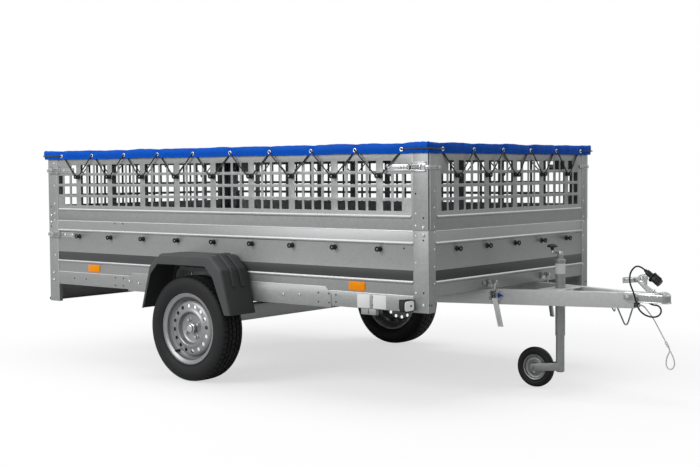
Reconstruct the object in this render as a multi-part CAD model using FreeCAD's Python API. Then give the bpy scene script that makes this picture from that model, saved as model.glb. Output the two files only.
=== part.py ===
import FreeCAD, Part
import math
import os

from FreeCAD import Vector

# Utility trailer with a tipping bed, slotted extension walls, a laced flat cover and a V drawbar.
# Millimetres. X forward to the coupling, Y to the left side, Z up from the ground.
# The origin lies on the ground under the middle of the overall length.

# Overall layout
box_length = 2730.0
box_width = 1510.0
nose_reach = 830.0          # coupling nose ahead of the front wall
rear_reach = 30.0           # corner latches behind the rear wall
wheel_setback = 1387.0      # wheel centre behind the front wall
overall_length = nose_reach + box_length + rear_reach
front_x = overall_length / 2 - nose_reach
rear_x = front_x - box_length
middle_x = (front_x + rear_x) / 2
side_y = box_width / 2
wheel_x = front_x - wheel_setback

# Clearances
fit_gap = 0.3               # round pieces on different bodies, and soft pieces against hard ones
seat_gap = 0.1              # round pieces of one body
running_fit = 0.05          # pins that turn in their bores
overrun = 5.0               # how far a cut reaches past the piece it cuts

# Bed frame and walls
rail_bottom = 428.0
rail_height = 74.0
rail_sheet = 3.0
rail_lip = 28.0
rail_top = rail_bottom + rail_height
wall = 25.0
wall_seam_z = 803.0
wall_top = 1196.0
front_wall_bottom = 501.0
bead_half = 8.0
bead_crest = 3.0
bead_rise = 5.0
low_bead_z = 564.0
high_bead_z = 743.0
upper_bead_z = 864.0
floor_bottom = 530.0
floor_board = 12.0
floor_top = floor_bottom + floor_board
member_height = 24.0
member_width = 60.0
member_sheet = 3.0
member_count = 7
member_bottom = floor_bottom - member_height

# Corner posts
post_proud = 2.0
front_post_side = 83.0
front_post_end = 58.0
rear_post_side = 80.0
rear_post_end = 58.0
front_post_bottom = 427.0
rear_post_bottom = 325.0

# Side plates over the axle
plate_front_setback = 572.0
plate_length = 1468.0
plate_sheet = 3.0
plate_bottom = 420.0
plate_height = 101.0
plate_chamfer = 34.0

# Slotted walls
sheet = 3.0
flange = 12.0
cell_size = 47.0
cell_bar = 15.0
cell_bottom = 891.0
cell_rows = 4
hook_pitch = 272.7
front_hook_pitch = 262.0
rib_width = 40.0
side_end_columns = 3
front_end_columns = 2
side_end_reach = rib_width / 2 + side_end_columns * (cell_size + cell_bar) - cell_bar
front_end_reach = rib_width / 2 + front_end_columns * (cell_size + cell_bar) - cell_bar
side_wall_length = box_length - front_post_side - rear_post_side
front_wall_length = box_width - 2 * front_post_end
side_hooks = 2 * int((side_wall_length / 2 - side_end_reach) / hook_pitch) + 1
front_hooks = 2 * int((front_wall_length / 2 - front_end_reach) / front_hook_pitch) + 1

# Cover, its eyelet line and its lacing cord
skirt_gap = 8.0
skirt = 6.0
skirt_bottom = 1156.0
cover_top_sheet = 12.0
cover_round = 9.0
eyelet_z = 1175.0
cord_radius = 3.5
cord_turn = 9.0
hook_z = 1055.0
low_hook_z = 713.0
hook_base_radius = 11.0
hook_base = 6.0
hook_stem_radius = 6.5
hook_stem = 16.0
hook_head_radius = 10.5
hook_head = 5.0
skirt_out = skirt_gap + skirt
cord_out = skirt_out + cord_radius + fit_gap

# Tailgate
gate_bottom = 514.0
gate_gap = 5.0
gate_top = wall_seam_z - gate_gap
gate_hinge_out = 8.0
gate_hinge_z = 508.0
gate_hinge_radius = 5.0
gate_knuckle_length = 60.0
knuckle_shares = (-0.8, 0.0, 0.8)   # places along half the tailgate's width

# Rear light board and lamps
board_setback = 30.0
board_sheet = 4.0
board_bottom = 332.0
board_top = 470.0
board_lip = 20.0
lamp_length = 200.0
lamp_height = 100.0
lamp_depth = 24.0
lamp_bottom = 348.0
lamp_inset = 70.0

# Front lamps on rubber arms
marker_setback = 88.0
marker_length = 62.0
marker_reach = 42.0
marker_bottom = 436.0
marker_height = 50.0
marker_lens = 8.0
marker_inset = 6.0

# Side reflectors
reflector_length = 100.0
reflector_height = 42.0
reflector_sheet = 5.0
reflector_bottom = 510.0
reflector_setback = 362.0
rear_reflector_setback = 2281.0

# Fenders
fender_width = 194.7
fender_inner = side_y + bead_rise + fit_gap
fender_outer = fender_inner + fender_width
fender_sheet = 4.0
fender_foot_z = 364.0
fender_arch_z = 604.0
fender_top_z = 657.0
fender_knee_z = 587.0
fender_rear_foot = 327.0
fender_rear_knee = 263.0
fender_rear_shoulder = 178.0
fender_front_shoulder = 186.0
fender_front_knee = 266.0
fender_front_foot = 326.0
arch_knee_z = 548.0
arch_rear_foot = 311.0
arch_rear_knee = 252.0
arch_rear_shoulder = 197.0
arch_front_shoulder = 153.0
arch_front_knee = 208.0
arch_front_foot = 288.0

# Road wheels
tyre_radius = 273.5
tyre_width = 155.0
tread_half = 58.0
shoulder_drop = 14.0
bead_seat_radius = 165.0
rim_flange_radius = 182.5
rim_half = 62.0
rim_sheet = 4.0
rim_well_radius = 148.0
rim_well_half = 22.0
tyre_wall = 12.0
wheel_inset = 35.0          # tyre's inner side outside the box's side
wheel_y = side_y + wheel_inset + tyre_width / 2
disc_face_out = 26.0        # mounting face outboard of the wheel's middle plane
disc_crown_out = 44.0
disc_crown_radius = 90.0
disc_foot_radius = 71.0
disc_rim_radius = 136.0
disc_root_out = 36.0
hub_hole_radius = 29.0
vent_circle_radius = 117.0
vent_radius = 10.0
vent_count = 16
hub_flange_radius = 66.0
hub_flange = 10.0
hub_barrel_radius = 44.0
hub_barrel = 78.0
hub_cap_radius = 27.0
hub_cap = 30.0
bolt_circle_radius = 49.0
bolt_radius = 8.0
bolt_head = 12.0
bolt_count = 4

# Axle
axle_size = 80.0
axle_wall = 6.0
axle_lead = 55.0            # axle tube ahead of the wheel centre
axle_z = 332.0
arm_thickness = 28.0
arm_inset = 42.0            # arm's inner side inside the box's side
arm_inner_y = side_y - arm_inset
arm_boss_radius = 50.0
arm_foot_radius = 34.0
stub_radius = 18.0

# Drawbar
beam_height = 72.0
beam_width = 42.0
beam_wall = 4.0
beam_top = 500.0
beam_rear_inset = 43.81     # beam's outer face inside the box's side, at its rear end
beam_front_half = 35.55
beam_rear_setback = 1372.0
beam_front_reach = 660.0
beam_splay = side_y - beam_rear_inset - beam_front_half
beam_spread_share = beam_splay / (beam_rear_setback + beam_front_reach)
beam_half_at_box = beam_front_half + beam_front_reach * beam_spread_share
saddle_length = 84.0
saddle_height = beam_top - beam_height - axle_z - axle_size / 2
tie_rear_reach = 195.0
tie_length = 120.0
tie_sheet = 6.0
beam_bottom = beam_top - beam_height

# Bed pivot
pivot_setback = 110.0       # behind the wheel centre
pivot_z = 466.0
pivot_inset = 195.0
pivot_y = side_y - pivot_inset
pivot_pin_radius = 9.0
pivot_eye_radius = 24.0
pivot_plate = 10.0
pivot_ear = 6.0
pivot_ear_gap = 2.0
pivot_x = wheel_x - pivot_setback

# Coupling
coupling_rear_reach = 594.0
coupling_sheet = 4.5
coupling_bottom = 457.0
coupling_nose_radius = 31.0
coupling_rim = 4.0
coupling_rim_sheet = 4.0
coupling_rim_start = 700.0
ball_radius = 25.2
socket_mouth = 10.0
nose_rise = 6.0
nose_round = 10.0
coupling_top = beam_top + coupling_sheet
nose_x = front_x + nose_reach - coupling_nose_radius - coupling_rim

# Coupling handle
handle_width = 30.0
handle_foot_front = 756.0
handle_foot_rear = 716.0
handle_neck = 668.0
handle_head_rear = 672.0
handle_head_front = 706.0
handle_top_z = 588.0
handle_grip_low_z = 549.0
handle_grip_high_z = 574.0
handle_grip_rear = 592.0
handle_elbow_z = 535.0

# Jockey wheel
jockey_reach = 255.0
jockey_tube_radius = 24.0
jockey_tube_wall = 2.7
jockey_tube_bottom = 267.0
jockey_tube_top = 640.0
jockey_leg_radius = 21.0
jockey_leg_bottom = 92.0
jockey_leg_wall = 3.0
jockey_stroke = 105.0
jockey_leg_top = 415.0
jockey_nut = 12.0
jockey_nut_play = 0.5
jockey_screw_radius = 8.0
jockey_cap = 4.0
jockey_neck_radius = 15.0
jockey_neck = 25.0
crank_radius = 5.0
crank_throw = 44.0
knob_radius = 21.0
knob_base_radius = 9.0
knob_base = 12.0
knob_crown = 18.0
knob_z = 684.0
clamp_radius = 36.0
clamp_height = 40.0
clamp_ear = 30.0
clamp_ear_width = 34.0
caster_trail = 136.0
caster_radius = 100.0
caster_width = 44.0
caster_rim_radius = 64.0
caster_rim_sheet = 4.0
caster_web = 8.0
caster_hub_radius = 18.0
caster_bore_radius = 8.3
caster_axle_radius = 8.0
fork_inner = 27.5
fork_sheet = 5.0
fork_top = 138.0
fork_eye_radius = 19.0
fork_nose = 6.0

# Tilt latches at the front of the bed
latch_reach = 40.0
latch_base_length = 34.0
latch_base_out = 22.0
latch_base_bottom = 446.0
latch_base_top = 498.0
latch_slot = 18.0
latch_lever_width = 26.0
latch_lever_sheet = 8.0
latch_lever_foot = 322.0
latch_lever_lean = 26.0
hook_rod_radius = 4.0
hook_eye_radius = 13.0
hook_eye_z = 536.0
hook_plate = 8.0
hook_block = 30.0
hook_block_bottom = 516.0
hook_block_top = 548.0
hook_foot_z = 470.0

# Body latches on the walls
latch_body_length = 86.0
latch_body_height = 30.0
latch_body_out = 9.0
latch_strap = 18.0
latch_strap_sheet = 5.0
upper_latch_z = 1092.0
lower_latch_z = 719.0
latch_body_setback = 118.0
latch_catch = 60.0

# Cable rest wire under the drawbar
rest_radius = 4.0
rest_rear_reach = 552.0
rest_low_reach = 600.0
rest_front_reach = 648.0
rest_low_z = 348.0
rest_y = 33.0
rest_turn = 12.0

# Electric lead and plug
lead_radius = 4.0
plug_radius = 19.0
plug_flange_radius = 24.0
plug_flange = 6.0
plug_shell = 46.0
plug_body_radius = 14.0
plug_body = 32.0
plug_gland_radius = 9.0
plug_gland = 14.0
plug_tip_reach = 792.0
plug_tip_z = 550.0
plug_y = -34.0
lead_inlet_z = 462.0
lead_straight = 42.0
plug_pitch_share = 0.78     # fall of the plug's axis for each unit forward

# Safety cable
strand_radius = 3.0
ferrule_radius = 6.4
ferrule_length = 26.0
anchor_z = 442.0
anchor_length = 12.0
strand_gap = 0.1
arc_share = 0.45            # of the shorter run beside a free cord's corner


def point(x, y, z):
    return Vector(x, y, z)


def block(x0, x1, y0, y1, z0, z1):
    return Part.makeBox(x1 - x0, y1 - y0, z1 - z0, point(x0, y0, z0))


def rod(start, end, radius):
    return Part.makeCylinder(radius, (end - start).Length, start, end - start)


def pipe(start, end, radius, hole):
    reach = (end - start).normalize() * overrun
    return rod(start, end, radius).cut(rod(start - reach, end + reach, hole))


def plate(corners, start, travel):
    """A flat outline, given as points, moved to its start and pushed along travel."""
    loop = Part.makePolygon([start + corner for corner in corners + corners[:1]])
    return Part.Face(loop).extrude(travel)


def upright(outline, y0, y1):
    """An outline in X and Z, as thick as y0 to y1."""
    return plate([point(x, 0, z) for x, z in outline], point(0, y0, 0), point(0, y1 - y0, 0))


def level(outline, z0, z1):
    """An outline in X and Y, as high as z0 to z1."""
    return plate([point(x, y, 0) for x, y in outline], point(0, 0, z0), point(0, 0, z1 - z0))


def crosswise(outline, x0, x1):
    """An outline in Y and Z, as long as x0 to x1."""
    return plate([point(0, y, z) for y, z in outline], point(x0, 0, 0), point(x1 - x0, 0, 0))


def mirrored(shape):
    return shape.mirror(point(0, 0, 0), point(0, 1, 0))


def pair(shape):
    return Part.makeCompound([shape, mirrored(shape)])


def group(shapes):
    return Part.makeCompound(shapes)


def joined(shapes):
    whole = shapes[0].fuse(shapes[1:])
    return whole.removeSplitter()


def turned(outline, centre, axis):
    """A closed outline of (along, radius) points turned round an axis through centre."""
    side = point(0, 0, 1) if abs(axis.z) < abs(axis.y) + abs(axis.x) else point(1, 0, 0)
    corners = [centre + axis * along + side * radius for along, radius in outline]
    face = Part.Face(Part.makePolygon(corners + corners[:1]))
    return face.revolve(centre, axis, 360)


def rounded_route(corners, radii):
    """Straight runs joined by tangent arcs, one radius for each inner corner."""
    edges = []
    last = corners[0]
    for before, corner, after, radius in zip(corners, corners[1:], corners[2:], radii):
        back = (before - corner).normalize()
        ahead = (after - corner).normalize()
        half = back.getAngle(ahead) / 2
        reach = radius / math.tan(half)
        start = corner + back * reach
        end = corner + ahead * reach
        bisector = (back + ahead).normalize()
        crown = corner + bisector * (radius / math.sin(half) - radius)
        if (start - last).Length > fit_gap / 10:
            edges.append(Part.LineSegment(last, start).toShape())
        edges.append(Part.Arc(start, crown, end).toShape())
        last = end
    edges.append(Part.LineSegment(last, corners[-1]).toShape())
    return Part.Wire(edges)


def swept(route, radius):
    start = route.Edges[0]
    tangent = start.tangentAt(start.FirstParameter)
    section = Part.Wire(Part.makeCircle(radius, start.valueAt(start.FirstParameter), tangent))
    return route.makePipeShell([section], True, False)


def free_route(corners):
    """A free cord's route: each arc as large as its two runs allow."""
    radii = []
    for before, corner, after in zip(corners, corners[1:], corners[2:]):
        back = before - corner
        ahead = after - corner
        turn = math.pi - back.getAngle(ahead)
        shorter = min(back.Length, ahead.Length)
        radii.append(arc_share * shorter / math.tan(turn / 2))
    return rounded_route(corners, radii), radii


def free_cord(name, corners, radius):
    route, radii = free_route(corners)
    solid = swept(route, radius)
    section = math.pi * radius ** 2
    print(name, "length", round(route.Length, 1), "tightest", round(min(radii), 1),
          "volume share", round(solid.Volume / (section * route.Length), 4))
    return solid


# Walls


def beaded_outline(depth, bottom, top, bead_heights):
    """A wall's section: flat inside, pressed beads outside. Points are (out, z)."""
    outer = [(0, bottom)]
    for bead_z in bead_heights:
        outer.append((0, bead_z - bead_half))
        outer.append((bead_rise, bead_z - bead_crest))
        outer.append((bead_rise, bead_z + bead_crest))
        outer.append((0, bead_z + bead_half))
    outer.append((0, top))
    return outer + [(-depth, top), (-depth, bottom)]


def side_panel():
    outline = beaded_outline(wall, rail_top, wall_seam_z, [low_bead_z, high_bead_z])
    section = [(-side_y - out, z) for out, z in outline]
    return crosswise(section, rear_x + rear_post_side, front_x - front_post_side)


def front_panel():
    outline = beaded_outline(wall, front_wall_bottom, wall_seam_z, [low_bead_z, high_bead_z])
    section = [(front_x + out, z) for out, z in outline]
    reach = side_y - front_post_end
    return upright(section, -reach, reach)


def tailgate():
    reach = side_y - rear_post_end - gate_gap
    outline = beaded_outline(wall, gate_bottom, gate_top, [low_bead_z, high_bead_z])
    section = [(rear_x - out, z) for out, z in outline]
    leaf = upright(section, -reach, reach)
    pieces = [leaf]
    hinge_x = rear_x - gate_hinge_out
    strap = gate_hinge_radius / 2
    for share in knuckle_shares:
        y = share * reach
        half = gate_knuckle_length / 2
        knuckle = rod(point(hinge_x, y - half, gate_hinge_z),
                      point(hinge_x, y + half, gate_hinge_z), gate_hinge_radius)
        leaf_strap = block(hinge_x - strap, rear_x, y - half, y + half,
                           gate_hinge_z, gate_bottom + gate_hinge_radius * 3)
        pieces.append(knuckle)
        pieces.append(leaf_strap)
    return joined(pieces)


def cell(x, z, width):
    return Part.makePolygon([point(x, 0, z), point(x + width, 0, z),
                             point(x + width, 0, z + cell_size), point(x, 0, z + cell_size),
                             point(x, 0, z)])


def slotted_wall(length, hooks, pitch, end_columns, bead_z):
    """A slotted wall in its own frame: along X from zero, outer face at Y zero, inside at +Y.

    The second end column has no top cell, and the third has no bottom cell either.
    """
    bars_between = int(round((pitch - rib_width) / (cell_size + cell_bar)))
    width = (pitch - rib_width - (bars_between - 1) * cell_bar) / bars_between
    first_hook = (length - (hooks - 1) * pitch) / 2
    starts = []
    for bay in range(hooks - 1):
        left = first_hook + bay * pitch + rib_width / 2
        starts += [(left + k * (width + cell_bar), 0) for k in range(bars_between)]
    for k in range(end_columns):
        step = rib_width / 2 + (k + 1) * width + k * cell_bar
        starts.append((first_hook - step, k))
        starts.append((length - first_hook + step - width, k))
    loops = [Part.makePolygon([point(0, 0, wall_seam_z), point(length, 0, wall_seam_z),
                               point(length, 0, wall_top), point(0, 0, wall_top),
                               point(0, 0, wall_seam_z)])]
    for start, column in starts:
        for row in range(1 if column > 1 else 0, cell_rows - 1 if column > 0 else cell_rows):
            loops.append(cell(start, cell_bottom + row * (cell_size + cell_bar), width))
    skin = Part.Face(loops, "Part::FaceMakerBullseye").extrude(point(0, sheet, 0))
    border = block(0, length, 0, wall, wall_seam_z, wall_top).cut(
        block(flange, length - flange, -overrun, wall + overrun,
              wall_seam_z + flange, wall_top - flange))
    bead = beaded_outline(sheet, bead_z - bead_half * 2, bead_z + bead_half * 2, [bead_z])
    ridge = crosswise([(-out, z) for out, z in bead], flange, length - flange)
    return joined([skin, border, ridge])


def slotted_side():
    low = rear_x + rear_post_side
    high = front_x - front_post_side
    panel = slotted_wall(high - low, side_hooks, hook_pitch, side_end_columns, upper_bead_z)
    panel.translate(point(low, -side_y, 0))
    return panel


def slotted_end(post_end):
    reach = side_y - post_end
    panel = slotted_wall(2 * reach, front_hooks, front_hook_pitch, front_end_columns, upper_bead_z)
    panel.rotate(point(0, 0, 0), point(0, 0, 1), 90)
    panel.translate(point(0, -reach, 0))
    return panel


def slotted_front():
    panel = slotted_end(front_post_end)
    panel.translate(point(front_x, 0, 0))
    return panel


def slotted_rear():
    panel = slotted_end(rear_post_end).mirror(point(0, 0, 0), point(1, 0, 0))
    panel.translate(point(rear_x, 0, 0))
    return panel


def post(end_x, facing, side_leg, end_leg, bottom, top):
    """An angle post at the right-hand corner; facing is 1 at the front and -1 at the rear."""
    out_x = end_x + facing * post_proud
    back_x = end_x - facing * side_leg
    inner_x = end_x - facing * wall
    outer_y = -side_y - post_proud
    side = block(min(out_x, back_x), max(out_x, back_x), outer_y, -side_y + wall, bottom, top)
    end = block(min(out_x, inner_x), max(out_x, inner_x), outer_y, -side_y + end_leg, bottom, top)
    return joined([side, end])


def lower_post_front():
    return post(front_x, 1, front_post_side, front_post_end, front_post_bottom, wall_seam_z)


def lower_post_rear():
    return post(rear_x, -1, rear_post_side, rear_post_end, rear_post_bottom, wall_seam_z)


def upper_posts():
    front = post(front_x, 1, front_post_side, front_post_end, wall_seam_z, wall_top)
    rear = post(rear_x, -1, rear_post_side, rear_post_end, wall_seam_z, wall_top)
    return group([front, rear, mirrored(front), mirrored(rear)])


# Bed frame


def sill_rail():
    x0 = rear_x + rear_post_side
    x1 = front_x - front_post_side
    outer = -side_y
    inner = outer + rail_lip
    body = block(x0, x1, outer, inner, rail_bottom, rail_top)
    return body.cut(block(x0 - overrun, x1 + overrun, outer + rail_sheet, inner + overrun,
                          rail_bottom + rail_sheet, rail_top - rail_sheet))


def side_plate():
    x1 = front_x - plate_front_setback
    x0 = x1 - plate_length
    top = plate_bottom + plate_height
    outline = [(x0, plate_bottom), (x1, plate_bottom), (x1, top - plate_chamfer),
               (x1 - plate_chamfer, top), (x0 + plate_chamfer, top), (x0, top - plate_chamfer)]
    return upright(outline, -side_y - plate_sheet, -side_y)


def floor():
    reach = side_y - wall
    return block(rear_x + wall, front_x - wall, -reach, reach, floor_bottom, floor_top)


def member_places():
    """Middles of the cross members: both ends, the pivot, and an even spread between."""
    low = rear_x + wall + member_width / 2
    high = front_x - wall - member_width / 2
    places = [low + (high - low) * k / (member_count - 1) for k in range(member_count)]
    nearest = min(range(member_count), key=lambda k: abs(places[k] - pivot_x))
    places[nearest] = pivot_x
    return places


def cross_member(x):
    reach = side_y - wall
    half = member_width / 2
    body = block(x - half, x + half, -reach, reach, member_bottom, floor_bottom)
    return body.cut(block(x - half + member_sheet, x + half - member_sheet,
                          -reach - overrun, reach + overrun,
                          member_bottom - overrun, floor_bottom - member_sheet))


def rest_pad():
    x = member_places()[-1]
    half = member_width / 2
    y = beam_middle_y(x)
    return block(x - half, x + half, y - half, y + half, beam_top + fit_gap, member_bottom)


def pivot_ears():
    ears = []
    mid = pivot_plate / 2 + pivot_ear_gap
    for near in (-pivot_y - mid - pivot_ear, -pivot_y + mid):
        eye = rod(point(pivot_x, near, pivot_z), point(pivot_x, near + pivot_ear, pivot_z),
                  pivot_eye_radius)
        neck = block(pivot_x - pivot_eye_radius, pivot_x + pivot_eye_radius, near,
                     near + pivot_ear, pivot_z, member_bottom)
        ears.append(eye.fuse(neck))
    span = mid + pivot_ear
    pin = rod(point(pivot_x, -pivot_y - span, pivot_z), point(pivot_x, -pivot_y + span, pivot_z),
              pivot_pin_radius)
    return joined(ears + [pin])


def cross_members():
    members = [cross_member(x) for x in member_places()]
    return group(members + [rest_pad(), mirrored(rest_pad()), pivot_ears(), mirrored(pivot_ears())])


def light_board():
    x1 = rear_x + board_setback
    x0 = x1 - board_sheet
    reach = side_y - wall
    face = block(x0, x1, -reach, reach, board_bottom, board_top)
    foot = block(x0, x1 + board_lip, -reach, reach, board_bottom, board_bottom + board_sheet)
    head = block(x0, x1 + board_lip, -reach, reach, board_top, board_top + board_sheet)
    hangers = [block(x0, x1 + board_lip, y - board_lip, y + board_lip, board_top, member_bottom)
               for y in (-reach + board_lip * 2, reach - board_lip * 2)]
    return joined([face, foot, head] + hangers)


def rear_lamp():
    x1 = rear_x + board_setback - board_sheet
    y0 = -side_y + lamp_inset
    body = block(x1 - lamp_depth, x1, y0, y0 + lamp_length, lamp_bottom, lamp_bottom + lamp_height)
    front_edges = [edge for edge in body.Edges
                   if edge.BoundBox.XMax < x1 - lamp_depth + fit_gap]
    return body.makeFillet(lamp_depth / 4, front_edges)


def front_lamp():
    x1 = front_x - marker_setback
    x0 = x1 - marker_length
    y1 = -side_y
    y0 = y1 - marker_reach
    z1 = marker_bottom + marker_height
    arm = level([(x0, y1), (x0, y1 - marker_inset), (x1 - marker_length / 2, y0), (x1, y0), (x1, y1)],
                marker_bottom, z1)
    lens = block(x1, x1 + marker_lens, y0, y0 + marker_reach - marker_inset,
                 marker_bottom + marker_inset, z1 - marker_inset)
    return joined([arm, lens])


def reflectors():
    shapes = []
    for setback in (reflector_setback, rear_reflector_setback):
        x1 = front_x - setback
        tile = block(x1 - reflector_length, x1, -side_y - reflector_sheet, -side_y,
                     reflector_bottom, reflector_bottom + reflector_height)
        shapes += [tile, mirrored(tile)]
    return group(shapes)


def fender():
    outer = [(wheel_x - fender_rear_foot, fender_foot_z),
             (wheel_x - fender_rear_knee, fender_knee_z),
             (wheel_x - fender_rear_shoulder, fender_top_z),
             (wheel_x + fender_front_shoulder, fender_top_z),
             (wheel_x + fender_front_knee, fender_knee_z),
             (wheel_x + fender_front_foot, fender_foot_z)]
    arch = [(wheel_x - arch_rear_foot, fender_foot_z),
            (wheel_x - arch_rear_knee, arch_knee_z),
            (wheel_x - arch_rear_shoulder, fender_arch_z),
            (wheel_x + arch_front_shoulder, fender_arch_z),
            (wheel_x + arch_front_knee, arch_knee_z),
            (wheel_x + arch_front_foot, fender_foot_z)]
    inside = [(wheel_x - fender_rear_foot + fender_sheet, fender_foot_z - fender_sheet),
              (wheel_x - fender_rear_knee + fender_sheet, fender_knee_z - fender_sheet / 2),
              (wheel_x - fender_rear_shoulder + fender_sheet / 2, fender_top_z - fender_sheet),
              (wheel_x + fender_front_shoulder - fender_sheet / 2, fender_top_z - fender_sheet),
              (wheel_x + fender_front_knee - fender_sheet, fender_knee_z - fender_sheet / 2),
              (wheel_x + fender_front_foot - fender_sheet, fender_foot_z - fender_sheet)]
    below = [(wheel_x + arch_front_foot, fender_foot_z - overrun),
             (wheel_x - arch_rear_foot, fender_foot_z - overrun)]
    roof = upright(outer, -fender_outer, -fender_inner)
    roof = roof.cut(upright(inside, -fender_outer + fender_sheet, -fender_inner + overrun))
    return roof.cut(upright(arch + below, -fender_outer - overrun, -fender_outer + fender_sheet * 2))


# Cover and lacing


def cover():
    out_x = skirt_out
    x0, x1 = rear_x - out_x, front_x + out_x
    y1 = side_y + out_x
    top = wall_top + fit_gap + cover_top_sheet
    body = block(x0, x1, -y1, y1, skirt_bottom, top)
    edges = [edge for edge in body.Edges if edge.BoundBox.ZMax > top - fit_gap
             and edge.BoundBox.ZMin > skirt_bottom + fit_gap]
    uprights = [edge for edge in body.Edges if edge.BoundBox.ZLength > cover_top_sheet
                and edge.BoundBox.XLength < fit_gap and edge.BoundBox.YLength < fit_gap]
    body = body.makeFillet(cover_round, edges + uprights)
    inner = block(rear_x - skirt_gap, front_x + skirt_gap, -side_y - skirt_gap, side_y + skirt_gap,
                  skirt_bottom - overrun, wall_top + fit_gap)
    return body.cut(inner)


def hook_places():
    """Hook positions round the box as (x, y, outward direction)."""
    places = []
    for k in range(side_hooks):
        x = middle_x + (k - (side_hooks - 1) / 2) * hook_pitch
        places.append((x, -side_y, point(0, -1, 0)))
        places.append((x, side_y, point(0, 1, 0)))
    for k in range(front_hooks):
        y = (k - (front_hooks - 1) / 2) * front_hook_pitch
        places.append((front_x, y, point(1, 0, 0)))
        places.append((rear_x, y, point(-1, 0, 0)))
    return places


def hook(x, y, z, out):
    foot = point(x, y, z)
    base = rod(foot, foot + out * hook_base, hook_base_radius)
    stem_end = foot + out * (hook_base + hook_stem)
    stem = rod(foot + out * hook_base, stem_end, hook_stem_radius)
    head = rod(stem_end, stem_end + out * hook_head, hook_head_radius)
    return joined([base, stem, head])


def cover_hooks():
    shapes = []
    for x, y, out in hook_places():
        for z in (hook_z, low_hook_z):
            on_gate = x == rear_x and z == low_hook_z
            if not on_gate:
                shapes.append(hook(x, y, z, out))
    return group(shapes)


def lacing_run(first, step, hooks, pitch, closing):
    """Corners of the lacing along one wall: eyelet, hook, eyelet, ... in the wall's own line."""
    wrap = hook_stem_radius + cord_radius + fit_gap
    half = pitch / 2
    drop = eyelet_z - hook_z
    lean = math.atan2(half, drop) - math.asin(wrap / math.hypot(half, drop))
    low = eyelet_z - half / math.tan(lean)
    corners = []
    for k in range(hooks):
        corners.append((first + step * (k * 2 * half - half), eyelet_z, cord_turn))
        corners.append((first + step * k * 2 * half, low, wrap))
    if closing:
        corners.append((first + step * (hooks * 2 - 1) * half, eyelet_z, cord_turn))
    return corners


def cover_cord():
    y_out = side_y + cord_out
    front_out = front_x + cord_out
    rear_out = rear_x - cord_out
    side_span = (side_hooks - 1) / 2 * hook_pitch
    end_span = (front_hooks - 1) / 2 * front_hook_pitch
    route = []
    half_rear = (front_hooks + 1) // 2
    rear_first = lacing_run(0.0, -1, half_rear, front_hook_pitch, True)[1:]
    route += [(point(rear_out, y, z), r) for y, z, r in rear_first]
    route.append((point(rear_out, -y_out, eyelet_z), cord_turn))
    right = lacing_run(middle_x - side_span, 1, side_hooks, hook_pitch, True)
    route += [(point(x, -y_out, z), r) for x, z, r in right]
    route.append((point(front_out, -y_out, eyelet_z), cord_turn))
    front = lacing_run(-end_span, 1, front_hooks, front_hook_pitch, True)
    route += [(point(front_out, y, z), r) for y, z, r in front]
    route.append((point(front_out, y_out, eyelet_z), cord_turn))
    left = lacing_run(middle_x + side_span, -1, side_hooks, hook_pitch, True)
    route += [(point(x, y_out, z), r) for x, z, r in left]
    route.append((point(rear_out, y_out, eyelet_z), cord_turn))
    rear_last = lacing_run(end_span, -1, half_rear - 1, front_hook_pitch, True)
    route += [(point(rear_out, y, z), r) for y, z, r in rear_last]
    corners = [corner for corner, radius in route]
    radii = [radius for corner, radius in route][1:-1]
    return swept(rounded_route(corners, radii), cord_radius)


# Axle and road wheels


def axle_tube():
    x = wheel_x + axle_lead
    half = axle_size / 2
    tube = block(x - half, x + half, -arm_inner_y, arm_inner_y, axle_z - half, axle_z + half)
    bore = half - axle_wall
    return tube.cut(block(x - bore, x + bore, -arm_inner_y - overrun, arm_inner_y + overrun,
                          axle_z - bore, axle_z + bore))


def swing_arm():
    x = wheel_x + axle_lead
    outer = -arm_inner_y - arm_thickness
    head = rod(point(x, outer, axle_z), point(x, -arm_inner_y, axle_z), arm_boss_radius)
    foot = rod(point(wheel_x, outer, tyre_radius), point(wheel_x, -arm_inner_y, tyre_radius),
               arm_foot_radius)
    fall = point(wheel_x - x, 0, tyre_radius - axle_z)
    across = point(-fall.z, 0, fall.x).normalize()
    top = point(x, outer, axle_z)
    low = point(wheel_x, outer, tyre_radius)
    web = plate([top + across * arm_boss_radius, low + across * arm_foot_radius,
                 low - across * arm_foot_radius, top - across * arm_boss_radius],
                point(0, 0, 0), point(0, arm_thickness, 0))
    stub_end = wheel_y + disc_face_out
    stub = rod(point(wheel_x, outer, tyre_radius), point(wheel_x, -stub_end, tyre_radius), stub_radius)
    return joined([head, foot, web, stub])


def hub():
    centre = point(wheel_x, -wheel_y, tyre_radius)
    axis = point(0, -1, 0)
    face = disc_face_out
    bore = stub_radius + running_fit
    back = face - hub_barrel
    outline = [(back, bore), (face + running_fit, bore), (face + running_fit, 0), (face + hub_cap, 0),
               (face + hub_cap, hub_cap_radius - hub_flange), (face + hub_cap - hub_flange, hub_cap_radius),
               (face, hub_cap_radius), (face, hub_flange_radius), (face - hub_flange, hub_flange_radius),
               (face - hub_flange, hub_barrel_radius), (back, hub_barrel_radius)]
    body = turned(outline, centre, axis)
    bolts = []
    for k in range(bolt_count):
        angle = 2 * math.pi * (k + 0.5) / bolt_count
        foot = centre + point(math.cos(angle), 0, math.sin(angle)) * bolt_circle_radius
        bolts.append(rod(foot + axis * face, foot + axis * (face + rim_sheet + bolt_head), bolt_radius))
    return joined([body] + bolts)


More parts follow.
